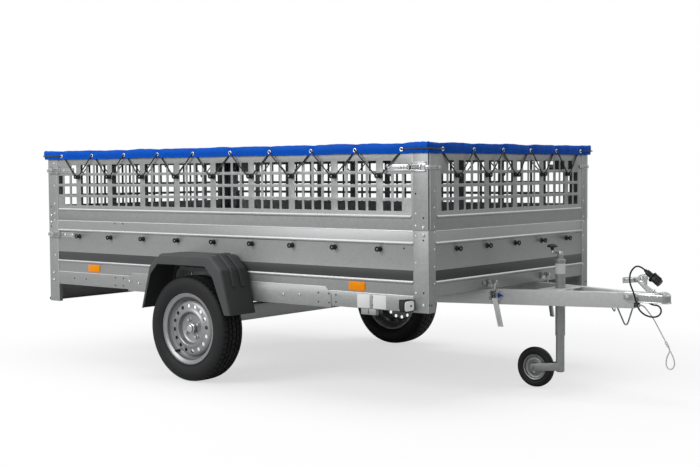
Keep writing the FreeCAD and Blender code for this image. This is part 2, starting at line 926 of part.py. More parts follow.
def rim():
    centre = point(wheel_x, -wheel_y, tyre_radius)
    axis = point(0, -1, 0)
    s = rim_sheet
    half = rim_half
    ledge = half - s * 2
    barrel = [(-half, rim_flange_radius), (-half + s, rim_flange_radius), (-half + s, bead_seat_radius),
              (-rim_well_half - s * 3, bead_seat_radius), (-rim_well_half, rim_well_radius),
              (rim_well_half, rim_well_radius), (rim_well_half + s * 3, bead_seat_radius),
              (half - s, bead_seat_radius), (half - s, rim_flange_radius), (half, rim_flange_radius),
              (half, bead_seat_radius - s), (rim_well_half + s * 3, bead_seat_radius - s),
              (rim_well_half, rim_well_radius - s), (-rim_well_half, rim_well_radius - s),
              (-rim_well_half - s * 3, bead_seat_radius - s), (-half, bead_seat_radius - s)]
    hoop = turned(barrel, centre, axis)
    face = disc_face_out
    crown = disc_crown_out
    disc = [(face, hub_hole_radius), (face + s, hub_hole_radius), (face + s, disc_foot_radius - s),
            (crown + s, disc_crown_radius - s), (crown + s, disc_crown_radius + s),
            (disc_root_out + s, disc_rim_radius), (rim_well_half - s, disc_rim_radius + s),
            (rim_well_half - s, rim_well_radius - s / 2), (rim_well_half - s * 2, rim_well_radius - s / 2),
            (rim_well_half - s * 2, disc_rim_radius), (disc_root_out, disc_rim_radius - s),
            (crown, disc_crown_radius + s), (crown, disc_crown_radius - s), (face, disc_foot_radius)]
    plate_disc = turned(disc, centre, axis)
    vents = []
    for k in range(vent_count):
        angle = 2 * math.pi * k / vent_count
        foot = centre + point(math.cos(angle), 0, math.sin(angle)) * vent_circle_radius
        vents.append(rod(foot, foot + axis * ledge * 2, vent_radius))
    holes = []
    for k in range(bolt_count):
        angle = 2 * math.pi * (k + 0.5) / bolt_count
        foot = centre + point(math.cos(angle), 0, math.sin(angle)) * bolt_circle_radius
        holes.append(rod(foot, foot + axis * ledge * 2, bolt_radius + seat_gap))
    return hoop.fuse(plate_disc.cut(vents + holes)).removeSplitter()


def tyre():
    centre = point(wheel_x, -wheel_y, tyre_radius)
    axis = point(0, -1, 0)
    half = tyre_width / 2
    seat = bead_seat_radius + seat_gap
    edge = rim_half - rim_sheet - seat_gap
    lip = rim_flange_radius + seat_gap
    middle = (tyre_radius + lip) / 2
    crest = tyre_radius - shoulder_drop
    inner_crest = tyre_radius - tyre_wall
    inner_half = half - tyre_wall
    toe = edge - tyre_wall
    outline = [(-toe, seat), (-edge, seat), (-edge, lip), (-half + shoulder_drop / 2, lip + shoulder_drop),
               (-half, middle), (-half + shoulder_drop / 2, crest), (-tread_half, tyre_radius),
               (tread_half, tyre_radius), (half - shoulder_drop / 2, crest), (half, middle),
               (half - shoulder_drop / 2, lip + shoulder_drop), (edge, lip), (edge, seat), (toe, seat),
               (inner_half, middle), (tread_half - tyre_wall, inner_crest),
               (-tread_half + tyre_wall, inner_crest), (-inner_half, middle)]
    return turned(outline, centre, axis)


# Drawbar


def beam_outer_y(x):
    """The right beam's outer face at x."""
    return -beam_half_at_box + (x - front_x) * beam_spread_share


def beam_inner_y(x):
    return beam_outer_y(x) + beam_width * math.hypot(1, beam_spread_share)


def beam_middle_y(x):
    return (beam_outer_y(x) + beam_inner_y(x)) / 2


def beam_plan(inset, rear_x_end, front_x_end):
    """The right beam seen from above, taken in by inset on its sides."""
    grow = inset * math.hypot(1, beam_spread_share)
    meet = front_x + (grow - inset - beam_inner_y(front_x)) / beam_spread_share
    corners = [(rear_x_end, beam_outer_y(rear_x_end) + grow),
               (front_x_end, beam_outer_y(front_x_end) + grow)]
    if meet < front_x_end:
        corners += [(front_x_end, -inset), (meet, -inset)]
    else:
        corners += [(front_x_end, beam_inner_y(front_x_end) - grow)]
    return corners + [(rear_x_end, beam_inner_y(rear_x_end) - grow)]


def drawbar_beam():
    x0 = front_x - beam_rear_setback
    x1 = front_x + beam_front_reach
    body = level(beam_plan(0, x0, x1), beam_bottom, beam_top)
    hollow = level(beam_plan(beam_wall, x0 - overrun, x1 + overrun),
                   beam_bottom + beam_wall, beam_top - beam_wall)
    saddle_x = wheel_x + axle_lead
    half = saddle_length / 2
    y0 = beam_outer_y(saddle_x - half)
    y1 = beam_inner_y(saddle_x + half)
    saddle = block(max(saddle_x - half, x0), saddle_x + half, y0, y1,
                   beam_bottom - saddle_height, beam_bottom)
    return body.cut(hollow).fuse(saddle).removeSplitter()


def tie_plate():
    x0 = front_x + tie_rear_reach
    x1 = x0 + tie_length
    z0 = beam_top - tie_sheet
    corners = [(x0, beam_inner_y(x0)), (x1, beam_inner_y(x1)),
               (x1, -beam_inner_y(x1)), (x0, -beam_inner_y(x0))]
    body = level(corners, z0, beam_top)
    x = front_x + jockey_reach
    return body.cut(rod(point(x, 0, z0 - overrun), point(x, 0, beam_top + overrun),
                        jockey_tube_radius + seat_gap))


def coupling():
    rear = front_x + coupling_rear_reach
    shoulder = front_x + beam_front_reach
    grow = coupling_sheet * math.hypot(1, beam_spread_share)
    nose = coupling_nose_radius
    rise = coupling_top + nose_rise

    def hood(inset, z0, z1):
        back = rear - (overrun if inset else 0)
        half = [(back, beam_outer_y(back) - grow + inset), (shoulder, beam_outer_y(shoulder) - grow + inset),
                (nose_x, -nose + inset)]
        flat = half + [(x, -y) for x, y in reversed(half)]
        ball_end = rod(point(nose_x, 0, z0), point(nose_x, 0, z1), nose - inset)
        return level(flat, z0, z1).fuse(ball_end)

    shell = hood(0, coupling_bottom, coupling_top).cut(hood(grow, coupling_bottom - overrun, beam_top))
    dome = rod(point(nose_x, 0, coupling_bottom), point(nose_x, 0, rise), nose)
    dome = dome.makeFillet(nose_round, [edge for edge in dome.Edges if edge.BoundBox.ZMin > rise - fit_gap])
    rim_x = front_x + coupling_rim_start
    edge_band = block(rim_x, nose_x, -nose - coupling_rim, nose + coupling_rim,
                      coupling_bottom, coupling_bottom + coupling_rim_sheet)
    edge_band = edge_band.fuse(rod(point(nose_x, 0, coupling_bottom),
                                   point(nose_x, 0, coupling_bottom + coupling_rim_sheet),
                                   nose + coupling_rim))
    edge_band = edge_band.cut(block(rim_x - overrun, nose_x, -nose + coupling_sheet, nose - coupling_sheet,
                                    coupling_bottom - overrun, beam_top))
    body = joined([shell, dome, edge_band])
    socket_z = coupling_bottom + socket_mouth
    mouth = rod(point(nose_x, 0, coupling_bottom - overrun), point(nose_x, 0, socket_z), ball_radius)
    ball = Part.makeSphere(ball_radius, point(nose_x, 0, socket_z))
    return body.cut([mouth, ball])


def coupling_handle():
    outline = [(handle_foot_rear, coupling_top), (handle_foot_front, coupling_top),
               (handle_head_front, handle_elbow_z), (handle_head_front, handle_grip_high_z),
               (handle_neck + handle_width / 2, handle_top_z), (handle_head_rear, handle_grip_high_z),
               (handle_grip_rear, handle_grip_high_z - crank_radius),
               (handle_grip_rear, handle_grip_low_z), (handle_neck, handle_grip_low_z),
               (handle_neck + handle_width / 2, handle_elbow_z)]
    corners = [(front_x + x, z) for x, z in outline]
    return upright(corners, -handle_width / 2, handle_width / 2)


def pivot_bracket():
    y0 = -pivot_y - pivot_plate / 2
    y1 = y0 + pivot_plate
    axle_x = wheel_x + axle_lead
    half = axle_size / 2
    eye = rod(point(pivot_x, y0, pivot_z), point(pivot_x, y1, pivot_z), pivot_eye_radius)
    arm = upright([(pivot_x - pivot_eye_radius, pivot_z), (pivot_x, pivot_z + pivot_eye_radius),
                   (axle_x - half, axle_z + half), (axle_x - half, axle_z - half)], y0, y1)
    bore = rod(point(pivot_x, y0 - overrun, pivot_z), point(pivot_x, y1 + overrun, pivot_z),
               pivot_pin_radius + running_fit)
    return eye.fuse(arm).removeSplitter().cut(bore)


# Tilt latches


def on_beam_face(shape):
    """Moves a piece made at the origin, with X along the beam and -Y outwards, to the right beam's face."""
    x = front_x + latch_reach
    shape.rotate(point(0, 0, 0), point(0, 0, 1), math.degrees(math.atan(beam_spread_share)))
    shape.translate(point(x, beam_outer_y(x), 0))
    return shape


def tilt_lever():
    half = latch_base_length / 2
    base = block(-half, half, -latch_base_out, 0, latch_base_bottom, latch_base_top)
    slot = latch_slot / 2
    base = base.cut(block(-slot, slot, -latch_base_out - overrun, -latch_base_out / 4,
                          hook_foot_z - hook_rod_radius, latch_base_top + overrun))
    reach = latch_lever_width / 2
    lever = upright([(-reach, latch_base_bottom), (reach, latch_base_bottom),
                     (reach + latch_lever_lean, latch_lever_foot),
                     (-reach + latch_lever_lean, latch_lever_foot)],
                    -latch_base_out, -latch_base_out + latch_lever_sheet)
    return on_beam_face(joined([base, lever]))


def tilt_hook():
    x = front_x + latch_reach
    y = beam_outer_y(x) - latch_base_out / 2 - hook_rod_radius / 2
    half = hook_block / 2
    block_x = front_x + bead_rise
    keeper = block(front_x, block_x + hook_eye_radius, y - half, y + half,
                   hook_block_bottom, hook_block_top)
    eye = rod(point(x, y - hook_plate / 2, hook_eye_z), point(x, y + hook_plate / 2, hook_eye_z),
              hook_eye_radius)
    bridge = block(front_x, x, y - hook_plate / 2, y + hook_plate / 2,
                   hook_eye_z - hook_rod_radius, hook_eye_z + hook_eye_radius)
    stem = rod(point(x, y, hook_foot_z), point(x, y, hook_eye_z), hook_rod_radius)
    return joined([keeper, eye, bridge, stem])


# Body latches


def corner_latch(end_x, facing, z):
    """Latch body on the side wall, its strap round the corner and its catch on the end wall."""
    x0 = end_x - facing * latch_body_setback
    x1 = x0 - facing * latch_body_length
    outer = -side_y - post_proud
    half = latch_body_height / 2
    strap = latch_strap / 2
    body = block(min(x0, x1), max(x0, x1), -side_y - latch_body_out, -side_y, z - half, z + half)
    reach = outer - latch_strap_sheet
    tip = end_x + facing * (post_proud + latch_strap_sheet)
    bar = block(min(x1, tip), max(x1, tip), reach, outer, z - strap, z + strap)
    wrap_end = -side_y + latch_catch
    inner = end_x + facing * post_proud
    wrap = block(min(tip, inner), max(tip, inner), reach, wrap_end, z - strap, z + strap)
    return joined([body, bar, wrap])


def body_latches():
    places = [(front_x, 1, upper_latch_z), (rear_x, -1, upper_latch_z)]
    shapes = [corner_latch(*place) for place in places]
    return group(shapes + [mirrored(shape) for shape in shapes])


def gate_latch_bodies():
    shape = corner_latch(rear_x, -1, lower_latch_z)
    keep = block(rear_x - post_proud, front_x, -side_y * 2, 0, 0, wall_top)
    return shape.common(keep)


def gate_striker():
    y0 = -side_y + rear_post_end + gate_gap
    half = latch_strap / 2
    x1 = rear_x
    return block(x1 - rear_reach, x1, y0, y0 + latch_catch, lower_latch_z - half, lower_latch_z + half)


# Jockey wheel


def jockey_outer_tube():
    x = front_x + jockey_reach
    tube = pipe(point(x, 0, jockey_tube_bottom), point(x, 0, jockey_tube_top),
                jockey_tube_radius, jockey_tube_radius - jockey_tube_wall)
    cap = rod(point(x, 0, jockey_tube_top - jockey_cap), point(x, 0, jockey_tube_top), jockey_tube_radius)
    neck = rod(point(x, 0, jockey_tube_top), point(x, 0, jockey_tube_top + jockey_neck), jockey_neck_radius)
    return joined([tube, cap, neck])


def jockey_clamp():
    x = front_x + jockey_reach
    z1 = beam_top - tie_sheet
    z0 = z1 - clamp_height
    ring = pipe(point(x, 0, z0), point(x, 0, z1), clamp_radius, jockey_tube_radius + seat_gap)
    ear = block(x + jockey_tube_radius + jockey_cap, x + clamp_radius + clamp_ear,
                -clamp_ear_width / 2, clamp_ear_width / 2, z0, z1)
    return joined([ring, ear])


def jockey_crank():
    x = front_x + jockey_reach
    knob_x = x - crank_throw
    neck_top = jockey_tube_top + jockey_neck
    hub_piece = rod(point(x, 0, neck_top), point(x, 0, neck_top + crank_radius * 2), jockey_neck_radius)
    arm_z = neck_top + crank_radius
    corners = [point(x, 0, arm_z), point(knob_x, 0, arm_z), point(knob_x, 0, knob_z + knob_base)]
    arm = swept(rounded_route(corners, [crank_radius * 2]), crank_radius)
    knob = turned([(0, 0), (0, knob_base_radius), (knob_base, knob_base_radius),
                   (knob_base + crank_radius, knob_radius), (knob_base + knob_crown, knob_base_radius),
                   (knob_base + knob_crown, 0)],
                  point(knob_x, 0, knob_z), point(0, 0, 1))
    return joined([hub_piece, arm, knob])


def jockey_spindle():
    x = front_x + jockey_reach
    z0 = jockey_leg_top + fit_gap
    radius = jockey_tube_radius - jockey_tube_wall - jockey_nut_play
    nut = rod(point(x, 0, z0), point(x, 0, z0 + jockey_nut), radius)
    screw_top = jockey_tube_top - jockey_stroke - jockey_cap * 3
    screw = rod(point(x, 0, z0 + jockey_nut), point(x, 0, screw_top), jockey_screw_radius)
    return joined([nut, screw])


def jockey_leg():
    x = front_x + jockey_reach
    return pipe(point(x, 0, jockey_leg_bottom), point(x, 0, jockey_leg_top),
                jockey_leg_radius, jockey_leg_radius - jockey_leg_wall)


def jockey_fork():
    x = front_x + jockey_reach
    axle_x = x - caster_trail
    outer = fork_inner + fork_sheet
    cheeks = []
    for y0 in (-outer, fork_inner):
        eye = rod(point(axle_x, y0, caster_radius), point(axle_x, y0 + fork_sheet, caster_radius),
                  fork_eye_radius)
        arm = upright([(axle_x, caster_radius - fork_eye_radius), (x, jockey_leg_bottom), (x, fork_top),
                       (axle_x, caster_radius + fork_eye_radius)], y0, y0 + fork_sheet)
        cheeks += [eye, arm]
    bow = block(x, x + jockey_leg_radius + fork_nose, -outer, outer, jockey_leg_bottom, fork_top)
    bow = bow.cut(rod(point(x, 0, jockey_leg_bottom - overrun), point(x, 0, fork_top + overrun),
                      jockey_leg_radius + seat_gap))
    bow_inner = block(x - fork_inner, x, -fork_inner, fork_inner,
                      jockey_leg_bottom - overrun, fork_top + overrun)
    pin = rod(point(axle_x, -outer - fork_sheet, caster_radius),
              point(axle_x, outer + fork_sheet, caster_radius), caster_axle_radius)
    return joined(cheeks + [bow.cut(bow_inner), pin])


def caster_rim():
    centre = point(front_x + jockey_reach - caster_trail, 0, caster_radius)
    half = caster_width / 2
    s = caster_rim_sheet
    web = caster_web / 2
    outline = [(-half, caster_bore_radius), (half, caster_bore_radius), (half, caster_hub_radius),
               (web, caster_hub_radius), (web, caster_rim_radius - s), (half - s, caster_rim_radius - s),
               (half - s, caster_rim_radius), (-half + s, caster_rim_radius),
               (-half + s, caster_rim_radius - s), (-web, caster_rim_radius - s),
               (-web, caster_hub_radius), (-half, caster_hub_radius)]
    return turned(outline, centre, point(0, 1, 0))


def caster_tyre():
    centre = point(front_x + jockey_reach - caster_trail, 0, caster_radius)
    half = caster_width / 2
    seat = caster_rim_radius + seat_gap
    shoulder = caster_radius - caster_web
    outline = [(-half, seat), (half, seat), (half, shoulder), (half - caster_web, caster_radius),
               (-half + caster_web, caster_radius), (-half, shoulder)]
    return turned(outline, centre, point(0, 1, 0))


# Cords and what is on them


def rest_wire():
    top = beam_bottom + overrun
    x0 = front_x + rest_rear_reach
    x1 = front_x + rest_front_reach
    corners = [point(x0, -rest_y, top), point(front_x + rest_low_reach, -rest_y, rest_low_z),
               point(x1, -rest_y, top)]
    wire = swept(rounded_route(corners, [rest_turn]), rest_radius)
    return wire.cut(block(x0 - overrun * 3, x1 + overrun * 3, -rest_y * 2, 0, beam_bottom, top + overrun))


def plug_axis():
    return point(1, 0, -plug_pitch_share).normalize()


def plug_tip():
    return point(front_x + plug_tip_reach, plug_y, plug_tip_z)


def plug():
    axis = plug_axis() * -1
    start = plug_tip()
    flange_start = start + axis * plug_shell
    body_start = flange_start + axis * plug_flange
    gland_start = body_start + axis * plug_body
    end = gland_start + axis * plug_gland
    return joined([rod(start, flange_start, plug_radius), rod(flange_start, body_start, plug_flange_radius),
                   rod(body_start, gland_start, plug_body_radius), rod(gland_start, end, plug_gland_radius)])


def lead():
    tail = plug_tip() - plug_axis() * (plug_shell + plug_flange + plug_body + plug_gland)
    inlet = point(front_x + beam_front_reach, 0, lead_inlet_z)
    corners = [tail, tail - plug_axis() * lead_straight,
               tail + point(-70, -6, -8), tail + point(-72, -12, -60), tail + point(-46, -16, -110),
               tail + point(-34, -16, -158), tail + point(-16, -15, -192), tail + point(18, -13, -213),
               tail + point(58, -10, -216), tail + point(82, -7, -201), tail + point(85, -4, -177),
               tail + point(67, -1, -160), inlet + point(90, -27, -13), inlet + point(55, -5, -2),
               inlet + point(25, 0, 0), inlet]
    return free_cord("lead", corners, lead_radius)


def anchor():
    """Where the safety cable leaves its sleeve, inside the coupling."""
    return point(front_x + beam_front_reach + anchor_length, 0, anchor_z)


def ferrule_top():
    return anchor() + point(114, 38, -167)


def ferrule_foot():
    return ferrule_top() + point(30, 0, -51).normalize() * ferrule_length


def safety_cable():
    start = anchor()
    corners = [start, start + point(20, 0, 0), start + point(40, 10, -30),
               start + point(60, 23, -61), start + point(84, 38, -116), ferrule_top()]
    return free_cord("safety_cable", corners, strand_radius)


def safety_loop():
    foot = ferrule_foot()
    side = strand_radius + strand_gap / 2
    fall = (foot - ferrule_top()).normalize()
    start = foot - point(0, side, 0)
    end = foot + point(0, side, 0)
    corners = [start, start + fall * 23, foot + point(30, -3, -54), foot + point(34, -2, -84),
               foot + point(20, -1, -106), foot + point(-2, 0, -104), foot + point(-12, 1.5, -82),
               foot + point(-8, 3, -50), end + fall * 20, end]
    return free_cord("safety_loop", corners, strand_radius)


def ferrules():
    crimp = rod(ferrule_top(), ferrule_foot(), ferrule_radius)
    sleeve = rod(anchor() - point(anchor_length, 0, 0), anchor(), ferrule_radius)
    return group([crimp, sleeve])


def build():
    """Every sub-part by its node name."""
    parts = {}
    parts["floor_board"] = floor()
    parts["floor_cross_members"] = cross_members()
    parts["front_panel"] = front_panel()
    parts["slotted_wall_front"] = slotted_front()
    parts["slotted_wall_rear"] = slotted_rear()
    parts["corner_posts_front"] = pair(lower_post_front())
    parts["corner_posts_rear"] = pair(lower_post_rear())
    parts["corner_posts_upper"] = upper_posts()
    parts["rear_light_board"] = light_board()
    parts["rear_lamps"] = pair(rear_lamp())
    parts["front_lamps"] = pair(front_lamp())
    parts["side_reflectors"] = reflectors()
    parts["cover"] = cover()
    parts["cover_cord"] = cover_cord()
    parts["cover_hooks"] = cover_hooks()
    parts["body_latches"] = group([body_latches(), pair(gate_latch_bodies())])
    parts["tailgate"] = tailgate()
    parts["tailgate_strikers"] = pair(gate_striker())
    parts["tilt_latch_hooks"] = pair(tilt_hook())
    parts["tilt_latch_levers"] = pair(tilt_lever())
    parts["axle_tube"] = axle_tube()
    parts["pivot_brackets"] = pair(pivot_bracket())
    parts["drawbar_tie_plate"] = tie_plate()
    parts["coupling_head"] = coupling()
    parts["coupling_handle"] = coupling_handle()
    parts["jockey_outer_tube"] = jockey_outer_tube()
    parts["jockey_clamp"] = jockey_clamp()
    parts["jockey_crank"] = jockey_crank()
    parts["jockey_spindle"] = jockey_spindle()
    parts["jockey_inner_tube"] = jockey_leg()
    parts["jockey_fork"] = jockey_fork()
    parts["jockey_wheel_rim"] = caster_rim()
    parts["jockey_wheel_tyre"] = caster_tyre()
    parts["cable_rest_wire"] = rest_wire()
    parts["lead_plug"] = plug()
    parts["lead_cable"] = lead()
    parts["safety_cable"] = safety_cable()
    parts["safety_loop"] = safety_loop()
    parts["safety_ferrules"] = ferrules()
    handed = {"side_panel": side_panel, "slotted_wall": slotted_side, "sill_rail": sill_rail,
              "side_plate": side_plate, "fender": fender, "swing_arm": swing_arm,
              "drawbar_beam": drawbar_beam, "wheel_hub": hub, "wheel_rim": rim, "wheel_tyre": tyre}
    for name, make in handed.items():
        shape = make()
        parts[name + "_right"] = shape
        parts[name + "_left"] = mirrored(shape)
    return parts


os.makedirs("parts", exist_ok=True)
for node, shape in build().items():
    solids = shape.Solids
    valid = all(solid.isValid() and solid.Volume > 0 for solid in solids)
    if not valid or not solids:
        print("check", node, len(solids), valid)
    shape.exportStep("parts/" + node + ".step")
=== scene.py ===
import math

import bpy
from mathutils import Matrix, Vector, noise


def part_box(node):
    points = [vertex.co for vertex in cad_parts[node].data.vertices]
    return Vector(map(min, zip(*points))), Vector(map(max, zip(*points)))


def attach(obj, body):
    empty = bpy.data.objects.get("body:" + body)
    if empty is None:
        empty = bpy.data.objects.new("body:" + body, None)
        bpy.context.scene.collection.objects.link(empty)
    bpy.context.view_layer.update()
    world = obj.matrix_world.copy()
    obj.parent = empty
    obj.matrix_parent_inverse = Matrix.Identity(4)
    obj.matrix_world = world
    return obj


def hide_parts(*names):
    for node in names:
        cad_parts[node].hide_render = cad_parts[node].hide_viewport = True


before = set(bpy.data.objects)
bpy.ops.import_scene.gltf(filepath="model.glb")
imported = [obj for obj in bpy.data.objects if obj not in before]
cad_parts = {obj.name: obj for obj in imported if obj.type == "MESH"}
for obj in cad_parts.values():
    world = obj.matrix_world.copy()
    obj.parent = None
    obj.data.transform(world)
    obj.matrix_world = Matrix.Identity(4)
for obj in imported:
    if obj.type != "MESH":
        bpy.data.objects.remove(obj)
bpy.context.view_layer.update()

# A box trailer of galvanised sheet with slotted extension walls, a laced tarpaulin and a V drawbar.
# Metres, in the frame's own axes: X forward to the coupling, Y to the left side, Z up.

MM = 0.001
X = Vector((1, 0, 0))
Y = Vector((0, 1, 0))
Z = Vector((0, 0, 1))


def middle(node):
    """The middle of a frame node's box."""
    low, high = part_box(node)
    return (low + high) / 2


# Places read from the frame
BEAD = 5 * MM
POST_PROUD = 2 * MM
FRONT_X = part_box("slotted_wall_front")[1].x - BEAD
REAR_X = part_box("slotted_wall_rear")[0].x + BEAD
SIDE_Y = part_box("slotted_wall_left")[1].y - BEAD
MIDDLE_X = (FRONT_X + REAR_X) / 2
SEAM_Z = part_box("side_panel_right")[1].z
WALL_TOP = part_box("slotted_wall_right")[1].z
RAIL_BOTTOM, RAIL_TOP = (corner.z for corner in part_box("sill_rail_right"))
FRONT_POST_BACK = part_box("slotted_wall_right")[1].x
REAR_POST_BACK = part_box("slotted_wall_right")[0].x
END_WALL_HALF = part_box("front_panel")[1].y
WHEEL = middle("wheel_tyre_right")
PLATE_LOW, PLATE_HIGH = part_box("side_plate_right")
JOCKEY_X = middle("jockey_outer_tube").x
CASTER = middle("jockey_wheel_tyre")

# The right beam's outer face, in millimetres: BEAM_SPREAD out at x BEAM_START, leaning in forwards
BEAM_START = 965
BEAM_SPREAD = 255
BEAM_SLOPE = 0.3325

# Pressed beads, films, the lacing line and the cover's outside
LOW_BEAD_Z = 564 * MM
BEAD_HALF = 8 * MM
STRIPE_TOP = 620 * MM
FILM_THICK = 0.5 * MM
EYELET_Z = 1175 * MM
HOOK_Z = 1055 * MM
LOW_HOOK_Z = 713 * MM
LACE_RADIUS = 3.5 * MM
SKIRT_OUT = 14 * MM
COVER_HALF_X = (FRONT_X - REAR_X) / 2 + SKIRT_OUT - 2 * MM
COVER_HALF_Y = SIDE_Y + SKIRT_OUT - 2 * MM
COVER_TOP = WALL_TOP + 9.5 * MM
COVER_HEM = 1156.5 * MM

# Each wall as seen from outside: its middle, the way to the right, the way out, hooks and pitch
SIDE_HOOKS = 9
SIDE_PITCH = 272.7 * MM
END_HOOKS = 5
END_PITCH = 262 * MM
WALLS = {
    "right": (Vector((MIDDLE_X, -SIDE_Y, 0)), X, -Y, SIDE_HOOKS, SIDE_PITCH),
    "front": (Vector((FRONT_X, 0, 0)), Y, X, END_HOOKS, END_PITCH),
    "left": (Vector((MIDDLE_X, SIDE_Y, 0)), -X, Y, SIDE_HOOKS, SIDE_PITCH),
    "rear": (Vector((REAR_X, 0, 0)), -Y, -X, END_HOOKS, END_PITCH),
}


# Handling


def only(*things):
    """Selects just these objects; the first one is active."""
    bpy.ops.object.select_all(action="DESELECT")
    for thing in things:
        thing.select_set(True)
    bpy.context.view_layer.objects.active = things[0]


def settle(piece):
    """Moves a piece's place, turn and size into its mesh."""
    only(piece)
    bpy.ops.object.transform_apply(location=True, rotation=True, scale=True)
    return piece


def shaping(piece):
    """Opens a piece in edit mode with all of it selected."""
    only(piece)
    bpy.ops.object.mode_set(mode="EDIT")
    bpy.ops.mesh.select_mode(type="VERT")
    bpy.ops.mesh.select_all(action="SELECT")


def shaped():
    """Closes the piece that was opened for shaping."""
    bpy.ops.object.mode_set(mode="OBJECT")


def tidy_shell(piece):
    """Merges doubled vertices and turns every face outwards."""
    shaping(piece)
    bpy.ops.mesh.remove_doubles(threshold=0.00001)
    bpy.ops.mesh.normals_make_consistent(inside=False)
    shaped()
    return piece


def modify(piece, kind, **settings):
    """Adds a modifier with its settings and applies it."""
    only(piece)
    bpy.ops.object.modifier_add(type=kind)
    modifier = piece.modifiers[-1]
    for name, value in settings.items():
        setattr(modifier, name, value)
    bpy.ops.object.modifier_apply(modifier=modifier.name)
    return piece


def rounded(piece, width, segments=2, angle=30):
    """Rounds the edges that are sharper than an angle in degrees."""
    return modify(piece, "BEVEL", width=width, segments=segments, limit_method="ANGLE",
                  angle_limit=math.radians(angle))


def block(low, high, edge=0.0):
    """A cuboid between two corners with rounded edges."""
    low, high = Vector(low), Vector(high)
    bpy.ops.object.select_all(action="DESELECT")
    bpy.ops.mesh.primitive_cube_add(size=1, location=(low + high) / 2)
    piece = bpy.context.object
    piece.scale = [abs(a) for a in high - low]
    settle(piece)
    return rounded(piece, edge) if edge else piece


def drawn(points):
    """A line of edges, drawn on from one vertex to the next."""
    points = [Vector(p) for p in points]
    bpy.ops.object.select_all(action="DESELECT")
    bpy.ops.mesh.primitive_plane_add(size=MM, location=points[0])
    shaping(bpy.context.object)
    bpy.ops.mesh.merge(type="CENTER")
    for here, there in zip(points, points[1:]):
        bpy.ops.mesh.extrude_vertices_move(TRANSFORM_OT_translate={"value": there - here})
    shaped()
    return settle(bpy.context.object)


def pulled(points, travel, edge=0.0, segments=2):
    """A flat outline pulled out to a solid with rounded edges."""
    piece = drawn(points)
    shaping(piece)
    bpy.ops.mesh.edge_face_add()
    bpy.ops.mesh.extrude_region_move(TRANSFORM_OT_translate={"value": Vector(travel)})
    bpy.ops.mesh.select_all(action="SELECT")
    bpy.ops.mesh.normals_make_consistent(inside=False)
    shaped()
    return rounded(piece, edge, segments) if edge else piece


def turned(profile, centre, axis, steps):
    """A profile of (along, radius) points in millimetres spun round an axis."""
    centre, axis = Vector(centre), Vector(axis).normalized()
    side = axis.orthogonal().normalized()
    piece = drawn([centre + axis * (along * MM) + side * (radius * MM) for along, radius in profile])
    shaping(piece)
    bpy.ops.mesh.spin(steps=steps, angle=math.tau, center=centre, axis=axis)
    shaped()
    return tidy_shell(piece)


def button(profile, steps=24):
    """A round pattern at the origin that faces up, to be repeated where it is wanted."""
    return turned(profile, (0, 0, 0), Z, steps)


def chosen(piece, wanted):
    """Selects the faces whose centre passes the test and leaves the piece open for shaping."""
    shaping(piece)
    bpy.ops.mesh.select_mode(type="FACE")
    bpy.ops.mesh.select_all(action="DESELECT")
    bpy.ops.object.mode_set(mode="OBJECT")
    for face in piece.data.polygons:
        face.select = wanted(face)
    bpy.ops.object.mode_set(mode="EDIT")


def chosen_edges(piece, wanted):
    """Selects the edges that pass the test and leaves the piece open for shaping."""
    shaping(piece)
    bpy.ops.mesh.select_mode(type="EDGE")
    bpy.ops.mesh.select_all(action="DESELECT")
    bpy.ops.object.mode_set(mode="OBJECT")
    for edge in piece.data.edges:
        edge.select = wanted(edge)
    bpy.ops.object.mode_set(mode="EDIT")


def mm(x, y, z):
    """A place given in millimetres."""
    return Vector((x, y, z)) * MM


def jockey_round(profile, steps=24):
    """A profile of (height, radius) points spun round the jockey wheel's own axis."""
    return turned(profile, (JOCKEY_X, 0, 0), Z, steps)


def side_view(points, y):
    """Places given by their x and height, all at one y, in millimetres."""
    return [mm(x, y, z) for x, z in points]


def closed_both_ways(half):
    """A profile given from its outer end to its middle, with its mirror image."""
    return half + [(-along, radius) for along, radius in reversed(half[:-1])]


def rounded_plate(low, high, depth_axis, corner, edge):
    """A block whose corners are rounded across its depth axis, then its edges softly."""
    low, high = Vector(low), Vector(high)
    a, b = [axis for axis in range(3) if axis != depth_axis]
    outline = []
    for sa, sb in ((-1, -1), (1, -1), (1, 1), (-1, 1)):
        ca = (high[a] - corner) if sa > 0 else (low[a] + corner)
        cb = (high[b] - corner) if sb > 0 else (low[b] + corner)
        turn = {(-1, -1): math.pi, (1, -1): 1.5 * math.pi, (1, 1): 0.0, (-1, 1): 0.5 * math.pi}[sa, sb]
        for step in range(5):
            angle = turn + math.pi / 2 * step / 4
            point = Vector((0, 0, 0))
            point[a] = ca + corner * math.cos(angle)
            point[b] = cb + corner * math.sin(angle)
            point[depth_axis] = low[depth_axis]
            outline.append(point)
    travel = Vector((0, 0, 0))
    travel[depth_axis] = high[depth_axis] - low[depth_axis]
    return pulled(outline, travel, edge)


def tube(points, radius, sides=2, soft=False):
    """A round bar along points; a soft one rounds its corners."""
    piece = drawn(points)
    only(piece)
    bpy.ops.object.convert(target="CURVE")
    piece = bpy.context.object
    if soft:
        spline = piece.data.splines[0]
        spline.type = "NURBS"
        spline.order_u = 3
        spline.use_endpoint_u = True
        spline.resolution_u = 6
    piece.data.bevel_depth = radius
    piece.data.bevel_resolution = sides
    piece.data.use_fill_caps = True
    bpy.ops.object.convert(target="MESH")
    return tidy_shell(bpy.context.object)


def joined(pieces):
    """One piece made of several."""
    only(*pieces)
    bpy.ops.object.join()
    return bpy.context.object


def cut(piece, tool):
    """Takes the tool's shape out of the piece."""
    modify(piece, "BOOLEAN", operation="DIFFERENCE", solver="EXACT", object=tool)
    only(tool)
    bpy.ops.object.delete()
    return piece


